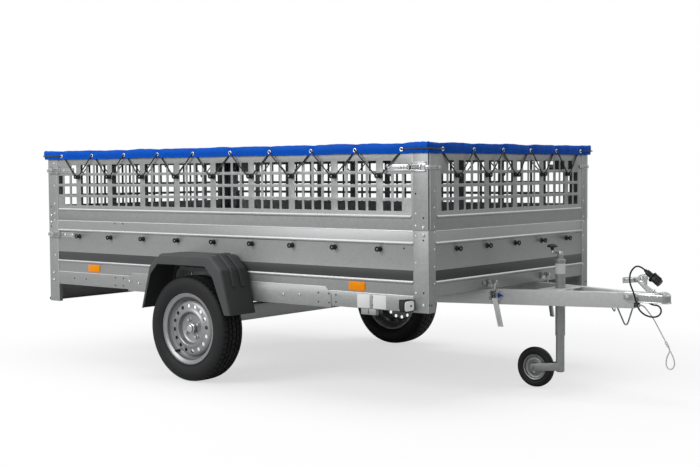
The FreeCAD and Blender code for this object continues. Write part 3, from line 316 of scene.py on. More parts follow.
def facing(place, out, up=Z):
    """The placing of a pattern that was made at the origin with +Z outwards and +Y up."""
    out = Vector(out).normalized()
    up = Vector(up)
    side = up.cross(out).normalized()
    upright = out.cross(side)
    turn = Matrix((side, upright, out)).transposed().to_4x4()
    return Matrix.Translation(place) @ turn


def repeated(pattern, places):
    """A copy of the pattern, with a mesh of its own, at each place; they are joined."""
    copies = []
    for place in places:
        only(pattern)
        bpy.ops.object.duplicate()
        copy = bpy.context.object
        copy.matrix_world = place
        copies.append(settle(copy))
    only(pattern)
    bpy.ops.object.delete()
    return joined(copies)


def mirrored(piece):
    """The same piece on the other side of the trailer."""
    only(piece)
    bpy.ops.object.duplicate()
    copy = bpy.context.object
    copy.scale.y = -1
    return tidy_shell(settle(copy))


def painted(piece, material):
    """Gives all of a piece one material."""
    piece.data.materials.clear()
    piece.data.materials.append(material)
    return piece


def finished(piece, name, body, material=None, hides=(), angle=35):
    """Names a piece, gives it its finish and lets it ride on its body."""
    only(piece)
    piece.name = name
    piece.data.name = name
    if material:
        painted(piece, material)
    bpy.ops.object.shade_smooth_by_angle(angle=math.radians(angle))
    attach(piece, body)
    if hides:
        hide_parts(*hides)
    return piece


def in_pairs(right, name, body, material, hides=()):
    """A right-hand piece joined with its mirror image; it hides the nodes given."""
    left = mirrored(right)
    finished(joined([right, left]), name, body, material, hides)


def from_frame(node, edge, segments=2, angle=30):
    """A copy of a frame node with its triangles merged, its flat faces whole and its edges rounded."""
    piece = bpy.data.objects.new(node + "_sheet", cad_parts[node].data.copy())
    bpy.context.scene.collection.objects.link(piece)
    shaping(piece)
    bpy.ops.mesh.remove_doubles(threshold=0.00002)
    bpy.ops.mesh.dissolve_limited(angle_limit=math.radians(1))
    shaped()
    return rounded(piece, edge, segments, angle)


def carried(node, body, material, edge, segments=2, angle=30):
    """A frame node shown as its own rounded copy."""
    return finished(from_frame(node, edge, segments, angle), node + "_formed", body,
                    material, hides=[node])


def paint_highlights(piece, upright=False):
    """Paints the upward-sloping flanks of a sheet's beads and edges, or a post's own corner, near-white
    zinc as a painted highlight.
    """
    piece.data.materials.append(HIGHLIGHT_ZINC)
    for face in piece.data.polygons:
        x, y, z = face.normal
        if (abs(x) > 0.3 and abs(y) > 0.3) if upright else 0.3 < z < 0.97:
            face.material_index = 1


# Materials


def ink(code):
    """An sRGB hex colour as linear RGBA."""
    parts = [int(code[i:i + 2], 16) / 255 for i in (1, 3, 5)]
    return [c / 12.92 if c <= 0.04045 else ((c + 0.055) / 1.055) ** 2.4 for c in parts] + [1.0]


def linked(tree, node, links):
    """Gives a node its inputs, each a value or another node's output."""
    for name, value in links.items():
        if isinstance(value, bpy.types.NodeSocket):
            tree.links.new(value, node.inputs[name])
        else:
            node.inputs[name].default_value = value


def add_node(tree, kind, links=None, **settings):
    """Adds a node with its settings and links; inputs that share a name go by number."""
    made = tree.nodes.new("ShaderNode" + kind)
    for name, value in settings.items():
        setattr(made, name, value)
    linked(tree, made, links or {})
    return made


def new_material(name):
    """An empty material with its shader, its output and the object's own coordinates."""
    material = bpy.data.materials.new(name)
    material.use_nodes = True
    tree = material.node_tree
    tree.nodes.clear()
    shader = add_node(tree, "BsdfPrincipled")
    add_node(tree, "OutputMaterial", {"Surface": shader.outputs["BSDF"]})
    place = add_node(tree, "TexCoord").outputs["Object"]
    return material, tree, shader, place


def galvanised(name, dark, light, crystal, rough_low, rough_high):
    """Hot-dip zinc: a patchwork of crystals, each a touch lighter or duller than the next."""
    material, tree, shader, place = new_material(name)
    crystals = add_node(tree, "TexVoronoi", {"Vector": place, "Scale": 1 / crystal})
    shade = add_node(tree, "SeparateColor", {"Color": crystals.outputs["Color"]})
    cloud = add_node(tree, "TexNoise", {"Vector": place, "Scale": 1 / (286 * MM), "Detail": 2.0})
    blend = add_node(tree, "Mix", {0: 0.4, 2: shade.outputs[0], 3: cloud.outputs["Fac"]})
    colour = add_node(tree, "Mix", {0: blend.outputs[0], 6: ink(dark), 7: ink(light)},
                      data_type="RGBA")
    rough = add_node(tree, "MapRange", {"Value": blend.outputs[0], "To Min": rough_low,
                                        "To Max": rough_high})
    bump = add_node(tree, "Bump", {"Height": cloud.outputs["Fac"], "Distance": 1.2 * MM})
    linked(tree, shader, {"Base Color": colour.outputs[2], "Roughness": rough.outputs["Result"],
                          "Metallic": 0.3, "Normal": bump.outputs["Normal"]})
    return material


def plain_metal(name, dark, light, rough, metal):
    """Plated or enamelled metal: even, with a faint cloudiness and fine handling marks."""
    material, tree, shader, place = new_material(name)
    cloud = add_node(tree, "TexNoise", {"Vector": place, "Scale": 1 / (55.5 * MM), "Detail": 1.0})
    colour = add_node(tree, "Mix", {0: cloud.outputs["Fac"], 6: ink(dark), 7: ink(light)},
                      data_type="RGBA")
    gloss = add_node(tree, "MapRange", {"Value": cloud.outputs["Fac"], "To Min": rough * 0.8,
                                        "To Max": rough * 1.3})
    bump = add_node(tree, "Bump", {"Height": cloud.outputs["Fac"], "Distance": 0.05 * MM})
    linked(tree, shader, {"Base Color": colour.outputs[2], "Roughness": gloss.outputs["Result"],
                          "Metallic": metal, "Normal": bump.outputs["Normal"]})
    return material


def grained(name, dark, light, grain, depth, rough):
    """Moulded plastic, rubber or film: a fine pebbled grain and a slight bloom."""
    material, tree, shader, place = new_material(name)
    pebbles = add_node(tree, "TexNoise", {"Vector": place, "Scale": 1 / grain, "Detail": 3.0})
    bloom = add_node(tree, "TexNoise", {"Vector": place, "Scale": 1 / (111 * MM), "Detail": 2.0})
    colour = add_node(tree, "Mix", {0: bloom.outputs["Fac"], 6: ink(dark), 7: ink(light)},
                      data_type="RGBA")
    gloss = add_node(tree, "MapRange", {"Value": bloom.outputs["Fac"], "To Min": rough * 0.9,
                                        "To Max": rough * 1.1})
    bump = add_node(tree, "Bump", {"Height": pebbles.outputs["Fac"], "Distance": depth})
    linked(tree, shader, {"Base Color": colour.outputs[2], "Roughness": gloss.outputs["Result"],
                          "Specular IOR Level": 0.25, "Normal": bump.outputs["Normal"]})
    return material


def lens(name, dark, light, ridge, painted_glow):
    """Moulded lamp lens: clear coloured acrylic over small prisms, drawn as crossed ridges, with a faint
    emission as a painted glow.
    """
    material, tree, shader, place = new_material(name)
    across = add_node(tree, "TexWave", {"Vector": place, "Scale": 0.32 / ridge}, bands_direction="X")
    upward = add_node(tree, "TexWave", {"Vector": place, "Scale": 0.32 / ridge}, bands_direction="Z")
    prisms = add_node(tree, "Math", {0: across.outputs["Fac"], 1: upward.outputs["Fac"]},
                      operation="MULTIPLY")
    colour = add_node(tree, "Mix", {0: prisms.outputs[0], 6: ink(dark), 7: ink(light)},
                      data_type="RGBA")
    bump = add_node(tree, "Bump", {"Height": prisms.outputs[0], "Distance": 0.4 * MM})
    linked(tree, shader, {"Base Color": colour.outputs[2], "Roughness": 0.12,
                          "Specular IOR Level": 0.12, "Emission Color": ink(light),
                          "Emission Strength": painted_glow, "Normal": bump.outputs["Normal"]})
    return material


def tarpaulin():
    """PVC-coated polyester: smooth coated cloth with a faint scrim and a low sheen on its folds."""
    material, tree, shader, place = new_material("pvc_tarpaulin_blue")
    cloud = add_node(tree, "TexNoise", {"Vector": place, "Scale": 1 / (143 * MM), "Detail": 4.0})
    # The scrim's threads are 1 mm apart; they are drawn 4 mm apart so that they show
    thread = 0.32 / (4 * MM)
    warp = add_node(tree, "TexWave", {"Vector": place, "Scale": thread}, bands_direction="X")
    weft = add_node(tree, "TexWave", {"Vector": place, "Scale": thread}, bands_direction="Y")
    scrim = add_node(tree, "Math", {0: warp.outputs["Fac"], 1: weft.outputs["Fac"]}, operation="ADD")
    # Lengths of cloth are welded with 20 mm laps, one lap every 0.9 m
    length = add_node(tree, "SeparateXYZ", {"Vector": place}).outputs["X"]
    lap = add_node(tree, "Math", {0: length, 1: 0.45}, operation="PINGPONG")
    lap = add_node(tree, "MapRange", {"Value": lap.outputs[0], "From Min": 0.010, "From Max": 0.012,
                                      "To Min": 3.0, "To Max": 0.0})
    height = add_node(tree, "Math", {0: scrim.outputs[0], 1: lap.outputs["Result"]}, operation="ADD")
    # Slack folds, about 80 mm apart and up to 5 mm deep, lie over the scrim's 0.12 mm
    folds = add_node(tree, "TexNoise", {"Vector": place, "Scale": 1 / (83.3 * MM), "Detail": 1.5,
                                        "Distortion": 1.2})
    height = add_node(tree, "Math", {0: folds.outputs["Fac"], 1: 40.0, 2: height.outputs[0]},
                      operation="MULTIPLY_ADD")
    colour = add_node(tree, "Mix", {0: cloud.outputs["Fac"], 6: ink("#0050BE"), 7: ink("#005ED4")},
                      data_type="RGBA")
    sheen = add_node(tree, "MapRange", {"Value": cloud.outputs["Fac"], "To Min": 0.46, "To Max": 0.6})
    bump = add_node(tree, "Bump", {"Height": height.outputs[0], "Distance": 0.12 * MM})
    linked(tree, shader, {"Base Color": colour.outputs[2], "Roughness": sheen.outputs["Result"],
                          "Specular IOR Level": 0.1, "Normal": bump.outputs["Normal"]})
    return material


def braided_cord():
    """Elastic cord in a polyester braid: black, with slanting strands."""
    material, tree, shader, place = new_material("braided_elastic_black")
    # Strands are 1 mm wide; they are drawn 2.5 mm wide so that they show
    strands = add_node(tree, "TexWave", {"Vector": place, "Scale": 0.32 / (2.5 * MM)},
                       bands_direction="DIAGONAL")
    colour = add_node(tree, "Mix", {0: strands.outputs["Fac"], 6: ink("#0B0B0C"), 7: ink("#1C1C1E")},
                      data_type="RGBA")
    bump = add_node(tree, "Bump", {"Height": strands.outputs["Fac"], "Distance": 0.3 * MM})
    linked(tree, shader, {"Base Color": colour.outputs[2], "Roughness": 0.75, "Sheen Weight": 0.2,
                          "Normal": bump.outputs["Normal"]})
    return material


def phenolic_plywood():
    """Film-faced birch plywood: dark brown with a mesh-pressed face."""
    material, tree, shader, place = new_material("film_faced_plywood")
    squeezed = add_node(tree, "Mapping", {"Vector": place, "Scale": (1.0, 9.0, 9.0)})
    grain = add_node(tree, "TexNoise", {"Vector": squeezed.outputs["Vector"], "Scale": 1 / (167 * MM),
                                        "Detail": 6.0})
    mesh_press = add_node(tree, "TexVoronoi", {"Vector": place, "Scale": 1 / (6 * MM)})
    colour = add_node(tree, "Mix", {0: grain.outputs["Fac"], 6: ink("#2E1F17"), 7: ink("#4A3326")},
                      data_type="RGBA")
    bump = add_node(tree, "Bump", {"Height": mesh_press.outputs["Distance"], "Distance": 0.3 * MM})
    linked(tree, shader, {"Base Color": colour.outputs[2], "Roughness": 0.5,
                          "Normal": bump.outputs["Normal"]})
    return material


def twisted_wire():
    """Steel strand in a clear sleeve: pale, with the strands' slant showing through."""
    material, tree, shader, place = new_material("sleeved_steel_strand")
    strands = add_node(tree, "TexWave", {"Vector": place, "Scale": 0.32 / (3 * MM)},
                       bands_direction="DIAGONAL")
    colour = add_node(tree, "Mix", {0: strands.outputs["Fac"], 6: ink("#D2D3D4"), 7: ink("#F4F5F5")},
                      data_type="RGBA")
    bump = add_node(tree, "Bump", {"Height": strands.outputs["Fac"], "Distance": 0.3 * MM})
    linked(tree, shader, {"Base Color": colour.outputs[2], "Roughness": 0.3, "Coat Weight": 0.3,
                          "Normal": bump.outputs["Normal"]})
    return material


# Hot-dip galvanised sheet: mid grey, soft-edged crystals, a dull sheen
SHEET_STEEL = galvanised("galvanised_sheet", "#929494", "#9FA1A1", 11 * MM, 0.34, 0.46)
# The pressed panels' sheet: the same, finer and a touch smoother
PANEL_STEEL = galvanised("galvanised_panel", "#939595", "#9D9F9F", 9 * MM, 0.30, 0.42)
# Tube dipped after welding: paler, with larger crystals
BEAM_STEEL = galvanised("galvanised_tube", "#C6C8C8", "#D2D4D4", 14 * MM, 0.36, 0.5)
# Painted highlight: near-white zinc on upward flanks, corners and edges, where the light catches them
HIGHLIGHT_ZINC = galvanised("painted_highlight_zinc", "#EBECEC", "#F6F6F6", 9 * MM, 0.26, 0.34)
# Bright zinc plate on pressings and bolts: a soft, darkish mirror
ZINC = plain_metal("bright_zinc_plate", "#9C9E9F", "#BCBEBE", 0.24, 0.88)
# Drawn steel wire: dull dark grey
WIRE_STEEL = plain_metal("drawn_steel_wire", "#6C6E6F", "#808283", 0.35, 0.5)
# Aluminium blind rivets: pale and satin
RIVET_STEEL = plain_metal("aluminium_rivet", "#C4C5C6", "#D8D9D9", 0.28, 0.6)
# Baked silver enamel on the rims: an even satin grey
RIM_PAINT = plain_metal("silver_rim_enamel", "#858687", "#949596", 0.34, 0.45)
# Nickel-plated brass eyelets: bright and glossy
NICKEL = plain_metal("nickelled_brass", "#C9CACB", "#E4E4E4", 0.2, 0.8)
# Moulded tyre rubber: near black and dull
TYRE_RUBBER = grained("tyre_rubber", "#0F1011", "#17181A", 1.2 * MM, 0.15 * MM, 0.62)
# Moulded rubber of boots, buffers, valves and the jockey wheel: black with a faint bloom
BLACK_RUBBER = grained("black_rubber", "#18191A", "#232425", 1.5 * MM, 0.1 * MM, 0.55)
# Moulded polyamide: black with a slight gloss
BLACK_PLASTIC = grained("black_polyamide", "#161617", "#222223", 1.0 * MM, 0.08 * MM, 0.38)
# Vacuum-formed polyethylene: dark grey, leathery and soft
FENDER_PLASTIC = grained("vacuum_formed_polyethylene", "#444546", "#4E4F50", 0.8 * MM, 0.12 * MM, 0.5)
# Dark grey vinyl film: smooth and flat beside the zinc
STRIPE_FILM = grained("dark_grey_vinyl_film", "#414243", "#48494A", 2.0 * MM, 0.03 * MM, 0.42)
# White vinyl film: plain and bright
BLANK_FILM = grained("white_vinyl_film", "#F0F1F1", "#F8F8F8", 2.0 * MM, 0.03 * MM, 0.4)
# The dark that shows through punched holes and open joints
HOLE_SHADOW = grained("punched_hole_shadow", "#0C0C0D", "#141415", 1.0 * MM, 0.02 * MM, 0.8)
# Extruded PVC jacket: black with a soft sheen
CABLE_JACKET = grained("pvc_cable_jacket", "#141415", "#1E1E1F", 1.0 * MM, 0.05 * MM, 0.42)
# Moulded polyamide tag: clear blue
PIN_BLUE = grained("blue_polyamide_tag", "#0B49C0", "#1160E0", 1.0 * MM, 0.05 * MM, 0.35)
# Acrylic lenses: a faint emission gives them a painted glow in place of the light their prisms return
AMBER = lens("amber_reflector", "#FA8E00", "#FFA400", 6 * MM, 0.1)
RED = lens("red_lamp_lens", "#8E0E12", "#D8232A", 6 * MM, 0.04)
CLEAR = lens("clear_lamp_lens", "#C6C8C9", "#F4F5F5", 7 * MM, 0.3)
COVER_CLOTH = tarpaulin()
ELASTIC = braided_cord()
PLYWOOD = phenolic_plywood()
STRAND = twisted_wire()


# Camera


def set_camera():
    """The photograph's viewpoint: a little above the walls' middle, far off the front right corner."""
    place = Vector((4.1686, -5.3093, 1.0758))
    yaw, pitch, roll = (math.radians(a) for a in (38.764, 2.894, -0.413))
    ahead = Vector((-math.sin(yaw) * math.cos(pitch), math.cos(yaw) * math.cos(pitch),
                    -math.sin(pitch)))
    right = Vector((math.cos(yaw), math.sin(yaw), 0))
    up = right.cross(ahead)
    rolled_right = right * math.cos(roll) + up * math.sin(roll)
    rolled_up = -right * math.sin(roll) + up * math.cos(roll)
    turn = Matrix((rolled_right, rolled_up, -ahead)).transposed().to_4x4()
    data = bpy.data.cameras.new("camera")
    data.lens = 63.25
    data.sensor_width = 36
    data.clip_end = 100
    camera = bpy.data.objects.new("camera", data)
    camera.matrix_world = Matrix.Translation(place) @ turn
    bpy.context.scene.collection.objects.link(camera)
    bpy.context.scene.camera = camera


set_camera()


# Cords


def cord_curve(name, points, diameter, material, body):
    """One smooth line through its own control points, as thick as the cord."""
    data = bpy.data.curves.new(name, "CURVE")
    data.dimensions = "3D"
    spline = data.splines.new("NURBS")
    spline.points.add(len(points) - 1)
    for knot, place in zip(spline.points, points):
        knot.co = (*place, 1)
    spline.order_u = 3
    spline.use_endpoint_u = True
    spline.resolution_u = 12
    data.bevel_depth = diameter / 2
    data.bevel_resolution = 4
    data.use_fill_caps = True
    data.materials.append(material)
    piece = bpy.data.objects.new(name, data)
    bpy.context.scene.collection.objects.link(piece)
    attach(piece, body)
    return piece


LEAD_INLET = Vector((1.625, 0, 0.462))
PLUG_TIP = Vector((1.757, -0.034, 0.550))
PLUG_AXIS = Vector((1, 0, -0.78)).normalized()
PLUG_TAIL = PLUG_TIP - PLUG_AXIS * 98 * MM
LEAD_DIAMETER = 8 * MM
STRAND_DIAMETER = 6 * MM
SAFETY_ANCHOR = Vector((1.637, 0, 0.442))
FERRULE_TOP = SAFETY_ANCHOR + Vector((114, 38, -167)) * MM
FERRULE_FALL = Vector((30, 0, -51)).normalized()
FERRULE_FOOT = FERRULE_TOP + FERRULE_FALL * 26 * MM


def lead_route():
    """The lead's way from its inlet, in a hanging loop, up over the coupling to its plug."""
    steps = [(-70, -6, -8), (-72, -12, -60), (-46, -16, -110), (-34, -16, -158), (-16, -15, -192),
             (18, -13, -213), (58, -10, -216), (82, -7, -201), (85, -4, -177), (67, -1, -160)]
    hanging = [PLUG_TAIL, PLUG_TAIL - PLUG_AXIS * 42 * MM] + [PLUG_TAIL + mm(*step) for step in steps]
    inside = [LEAD_INLET + mm(*step) for step in ((90, -27, -13), (55, -5, -2), (25, 0, 0))]
    return (hanging + inside + [LEAD_INLET])[::-1]


def safety_route():
    """The strand's way from its anchor down to the crimp."""
    steps = [(20, 0, 0), (40, 10, -30), (60, 23, -61), (84, 38, -116)]
    return [SAFETY_ANCHOR] + [SAFETY_ANCHOR + mm(*step) for step in steps] + [FERRULE_TOP]


def loop_route():
    """The eye: out of the crimp, round and back into it beside itself."""
    beside = Y * 3.05 * MM
    steps = [(30, -3, -54), (34, -2, -84), (20, -1, -106), (-2, 0, -104), (-12, 1.5, -82), (-8, 3, -50)]
    start = FERRULE_FOOT - beside
    end = FERRULE_FOOT + beside
    middle = [FERRULE_FOOT + mm(*step) for step in steps]
    return [start, start + FERRULE_FALL * 23 * MM] + middle + [end + FERRULE_FALL * 20 * MM, end]


def plug_piece():
    """The seven-pin plug: a ribbed shell, a cap flange, a body and a gland, all on one axis."""
    back = -PLUG_AXIS
    shell = [(0, 0), (1, 14), (1.5, 17.5), (3, 18.6), (9, 18.6), (10, 17.2), (13, 17.2), (14, 18.8),
             (22, 18.8), (23, 17.4), (26, 17.4), (27, 18.9), (37, 18.9), (41, 17.5), (46, 17.5),
             (46.5, 23), (47.5, 23.9), (51, 23.9), (52, 23), (52, 14), (56, 13.9), (57, 12.4), (60, 12.4),
             (61, 13.9), (66, 13.8), (67, 12.2), (70, 12.2), (71, 13.6), (84, 12.5), (84, 8.9),
             (88, 8.8), (89, 7.8), (92, 7.8), (93, 8.2), (98, 6), (98, 0)]
    piece = turned(shell, PLUG_TIP, back, 40)
    up = back.cross(Y).normalized()
    key = block((-3 * MM, -17 * MM, 8 * MM), (3 * MM, -23.5 * MM, 44 * MM), 1.2 * MM)
    hinge = block((-9 * MM, 17 * MM, 40 * MM), (9 * MM, 23.5 * MM, 52 * MM), 1.5 * MM)
    parts = [repeated(part, [facing(PLUG_TIP, back, up)]) for part in (key, hinge)]
    whole = joined([piece] + parts)
    return finished(whole, "lead_plug_shell", "chassis", BLACK_PLASTIC,
                    hides=["lead_plug"])


def ferrule_pieces():
    """Two crimped sleeves: one over the eye, one at the drawbar's end."""
    crimp = [(0, 3.2), (0.5, 5.6), (2, 6.3), (6, 6.3), (7.5, 5.4), (10, 5.4), (11.5, 6.3), (15, 6.3),
             (16.5, 5.4), (19, 5.4), (20.5, 6.3), (24, 6.3), (25.6, 5.6), (26, 0)]
    eye_crimp = turned([(0, 0)] + crimp, FERRULE_TOP, FERRULE_FALL, 28)
    sleeve = [(0, 0), (0, 5.8), (1, 6.3), (5, 6.3), (6, 5.6), (7, 6.3), (11, 6.3), (12, 5.8), (12, 0)]
    end_sleeve = turned(sleeve, SAFETY_ANCHOR - X * 12 * MM, X, 28)
    finished(end_sleeve, "safety_end_sleeve", "chassis", ZINC)
    return finished(eye_crimp, "safety_eye_crimp", "chassis", ZINC,
                    hides=["safety_ferrules"])


plug = plug_piece()
eye_crimp = ferrule_pieces()
lead = cord_curve("lead", lead_route(), LEAD_DIAMETER, CABLE_JACKET, "chassis")
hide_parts("lead_cable")
strand = cord_curve("safety_strand", safety_route(), STRAND_DIAMETER, STRAND, "chassis")
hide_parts("safety_cable")
eye = cord_curve("safety_eye", loop_route(), STRAND_DIAMETER, STRAND, "chassis")
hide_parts("safety_loop")


# Walls, posts and frame


def on_wall(wall, along, z, out):
    """A point on a wall: along to the right of its middle as seen from outside."""
    centre, right, outward = WALLS[wall][:3]
    return centre + right * along + outward * out + Z * z


def formed_walls():
    """The sheet-metal pieces of the frame with their bends and cut edges rounded; most carry a painted
    highlight on their upward flanks, the posts on their corners.
    """
    for node in ("side_panel_right", "side_panel_left", "front_panel"):
        paint_highlights(carried(node, "bed", PANEL_STEEL, 1.2 * MM, 2, 20))
    for side in ("right", "left", "front", "rear"):
        paint_highlights(carried("slotted_wall_" + side, "bed", SHEET_STEEL, 0.8 * MM, 2))
    for node in ("corner_posts_front", "corner_posts_rear", "corner_posts_upper"):
        paint_highlights(carried(node, "bed", SHEET_STEEL, 2.2 * MM, 3), True)
    for side in ("right", "left"):
        paint_highlights(carried("sill_rail_" + side, "bed", SHEET_STEEL, 1.2 * MM))
        paint_highlights(carried("side_plate_" + side, "bed", SHEET_STEEL, 1.0 * MM))
    board = carried("floor_board", "bed", PLYWOOD, 0.8 * MM)
    # The board's rear edge is drawn 0.8 mm forward, clear of the gate
    gate_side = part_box("floor_board")[0].x + 0.9 * MM
    for vertex in board.data.vertices:
        if vertex.co.x < gate_side:
            vertex.co.x += 0.8 * MM
    carried("floor_cross_members", "bed", SHEET_STEEL, 1.0 * MM)
    carried("rear_light_board", "bed", SHEET_STEEL, 1.0 * MM)
    paint_highlights(carried("tailgate", "tailgate", PANEL_STEEL, 1.2 * MM, 2, 20))
    for node in ("drawbar_beam_right", "drawbar_beam_left", "axle_tube"):
        paint_highlights(carried(node, "chassis", BEAM_STEEL, 4 * MM, 3))
    for node in ("swing_arm_right", "swing_arm_left", "drawbar_tie_plate", "pivot_brackets",
                 "jockey_clamp"):
        carried(node, "chassis", BEAM_STEEL, 1.2 * MM)


formed_walls()


def film(low, high, name, body, material):
    """A thin film or label stuck on the sheet, its edges rounded as far as its thickness allows."""
    low, high = Vector(low), Vector(high)
    edge = min(abs(a) for a in high - low) * 0.45
    finished(rounded(block(low, high), edge), name, body, material)


def stripes():
    """The dark grey band just above the low bead, on each lower wall."""
    bottom = LOW_BEAD_Z + BEAD_HALF
    for side, sign in (("right", -1), ("left", 1)):
        inner, outer = sign * SIDE_Y, sign * (SIDE_Y + FILM_THICK)
        film((REAR_POST_BACK, min(inner, outer), bottom),
             (FRONT_POST_BACK, max(inner, outer), STRIPE_TOP), "stripe_" + side, "bed", STRIPE_FILM)
    film((FRONT_X, -END_WALL_HALF, bottom), (FRONT_X + FILM_THICK, END_WALL_HALF, STRIPE_TOP),
         "stripe_front", "bed", STRIPE_FILM)
    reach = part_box("tailgate")[1].y
    film((REAR_X - FILM_THICK, -reach, bottom), (REAR_X, reach, STRIPE_TOP),
         "stripe_rear", "tailgate", STRIPE_FILM)


def seam_bars():
    """The rolled top edges of the lower walls and of the side rails, painted near white as a highlight."""
    seam = SEAM_Z - 2 * MM
    lines = []
    for side in (-1, 1):
        y = side * (SIDE_Y + 0.2 * MM)
        lines += [((REAR_POST_BACK, y, seam), (FRONT_POST_BACK, y, seam), 2 * MM),
                  ((REAR_POST_BACK, y, RAIL_TOP), (PLATE_LOW.x, y, RAIL_TOP), 1.6 * MM),
                  ((PLATE_HIGH.x, y, RAIL_TOP), (FRONT_POST_BACK, y, RAIL_TOP), 1.6 * MM)]
    lines.append(((FRONT_X, -END_WALL_HALF, seam), (FRONT_X, END_WALL_HALF, seam), 2 * MM))
    bars = [tube([start, end], radius, 3) for start, end, radius in lines]
    finished(joined(bars), "rolled_edge_highlights", "bed", HIGHLIGHT_ZINC)


def upper_corner_joints():
    """The open joint down each upper corner: a dark slot painted as shadow beside the end wall's edge,
    which is painted near white as a highlight.
    """
    slot_near, slot_far, bright = 755 * MM, 747 * MM, 743 * MM
    top = WALL_TOP - 4 * MM
    slots = []
    edges = []
    for end, x in ((1, FRONT_X + POST_PROUD), (-1, REAR_X - POST_PROUD)):
        for side in (-1, 1):
            near, far = side * slot_near, side * slot_far
            slots.append(block((x - 0.4 * MM, min(near, far), SEAM_Z + 4 * MM),
                               (x + 0.4 * MM, max(near, far), top), 0.2 * MM))
            edges.append(tube([Vector((x - end * MM, side * bright, SEAM_Z + 3 * MM)),
                               Vector((x - end * MM, side * bright, top))], 2.6 * MM, 3))
    finished(joined(slots), "upper_joint_slot_shadows", "bed", HOLE_SHADOW)
    finished(joined(edges), "upper_joint_edge_highlights", "bed", HIGHLIGHT_ZINC)


stripes()
seam_bars()
upper_corner_joints()


# Cover


def eyelet_places(wall):
    """Distances of a wall's eyelets from its middle."""
    hooks, pitch = WALLS[wall][3:]
    return [(k - hooks / 2) * pitch for k in range(hooks + 1)]


def flat_cover():
    """A fine grid over the walls with its rim drawn down in steps to the hem."""
    cell = 12.5 * MM
    skirt_steps = 7
    bpy.ops.object.select_all(action="DESELECT")
    bpy.ops.mesh.primitive_grid_add(x_subdivisions=int(2 * COVER_HALF_X / cell),
                                    y_subdivisions=int(2 * COVER_HALF_Y / cell), size=2,
                                    location=(MIDDLE_X, 0, COVER_TOP))
    piece = bpy.context.object
    piece.scale = (COVER_HALF_X, COVER_HALF_Y, 1)
    settle(piece)
    shaping(piece)
    bpy.ops.mesh.region_to_loop()
    drop = (0, 0, (COVER_HEM - COVER_TOP) / skirt_steps)
    for _ in range(skirt_steps):
        bpy.ops.mesh.extrude_region_move(TRANSFORM_OT_translate={"value": drop})
    shaped()
    return piece


def fading(distance, reach):
    """1 at the spot itself, less with the distance; reach is in millimetres."""
    return math.exp(-distance / (reach * MM))


def drape(piece):
    """Ripples the skirt, pulls it in at each eyelet, gathers the corners and lets the top sag."""
    round_over = 9 * MM
    pleat = 34 * MM
    sides = [eyelet_places("right"), eyelet_places("front")]
    for vertex in piece.data.vertices:
        x, y, z = vertex.co.x - MIDDLE_X, vertex.co.y, vertex.co.z
        reach_x, reach_y = COVER_HALF_X - abs(x), COVER_HALF_Y - abs(y)
        on_side = reach_y < reach_x
        along, across = (x, y) if on_side else (y, x)
        inward = max(min(reach_x, reach_y), 0.0)
        from_corner = max(reach_x, reach_y)
        corner = fading(from_corner, 70)
        gather = fading(from_corner, 80) * math.sin(from_corner * math.tau / pleat + 1.2)
        pull = sum(math.exp(-((along - k) / (28 * MM)) ** 2) for k in sides[0 if on_side else 1])
        wave = noise.noise(Vector((along * 6.5, 3.0 if on_side else 9.0, math.copysign(1, across))))
        ripple = noise.noise(Vector((along * 24.0, 5.0, math.copysign(2, across))))
        fall = (COVER_TOP - z) / (COVER_TOP - COVER_HEM)
        # The skirt bellies out between its eyelets
        if fall > 0.001:
            belly = math.sin(math.pi * min(fall * 1.1, 1.0))
            swell = (1.8 * wave + 2.0 * ripple) * MM * (0.4 + fall) - 2.4 * MM * pull * fall
            swell += (5 * belly + 4 * gather) * (1 - min(pull, 1.0)) * MM
            out = (Y if on_side else X) * math.copysign(1, across)
            vertex.co += out * (swell + 3.0 * MM * corner * (1 - fall))
            vertex.co.z += (5.0 * wave * (1 - fall) + 2.5 * wave * fall + 2.0 * ripple) * MM
            vertex.co.z += (3.0 * corner - 2.8 * pull) * (1 - fall) * MM + 2.0 * MM * gather * (1 - fall)
        # The top keeps the rim's waves near its edge and is creased and slack further in
        else:
            edge = fading(inward, 60)
            sag = -9 * MM * (1 - (x / COVER_HALF_X) ** 2) * (1 - (y / COVER_HALF_Y) ** 2)
            fold = 1.8 * MM * pull * fading(inward, 110)
            crease = noise.noise(Vector((x * 3.2, y * 3.2, 0.3))) * 5 * MM
            crease += abs(noise.noise(Vector((x * 7 + y * 4, y * 7 - x * 4, 1.7)))) * -6 * MM
            crease += abs(noise.noise(Vector((x * 5 - y * 11, y * 2, 4.1)))) * -4 * MM
            vertex.co.z += (5.0 * wave + 2.0 * ripple) * MM * edge + sag - fold * 1.6
            vertex.co.z += (3.0 * corner + 2.0 * gather * edge) * MM + crease * (1 - edge)
            if inward < round_over:
                vertex.co.z -= (1 - inward / round_over) * 1.5 * MM


def cover_piece():
    """The tarpaulin: a flat top with a turned-down skirt, drawn tight at its eyelets."""
    piece = flat_cover()
    drape(piece)
    modify(piece, "SOLIDIFY", thickness=1.0 * MM, offset=-1)
    piece = finished(piece, "cover_sheet", "bed", COVER_CLOTH, hides=["cover"], angle=60)


def eyelet_pattern():
    """A pressed ring round a dark hole."""
    ring = button([(0, 10.0), (1.2, 10.2), (2.2, 9.2), (2.6, 7.8), (2.2, 6.2), (1.0, 5.5), (-1.0, 5.4),
                   (-1.0, 9.8), (0, 10.0)])
    dark = button([(0.1, 0), (0.2, 4.0), (0, 5.6)], 16)
    return joined([painted(ring, NICKEL), painted(dark, HOLE_SHADOW)])


def all_walls_places(z, out, stops):
    """Placings on all four walls; stops gives each wall's distances from its middle."""
    places = []
    for wall in WALLS:
        for along in stops(wall):
            places.append(facing(on_wall(wall, along, z, out), WALLS[wall][2]))
    return places


def hook_stops(wall):
    """Distances of a wall's hooks from its middle."""
    hooks, pitch = WALLS[wall][3:]
    return [(k - (hooks - 1) / 2) * pitch for k in range(hooks)]


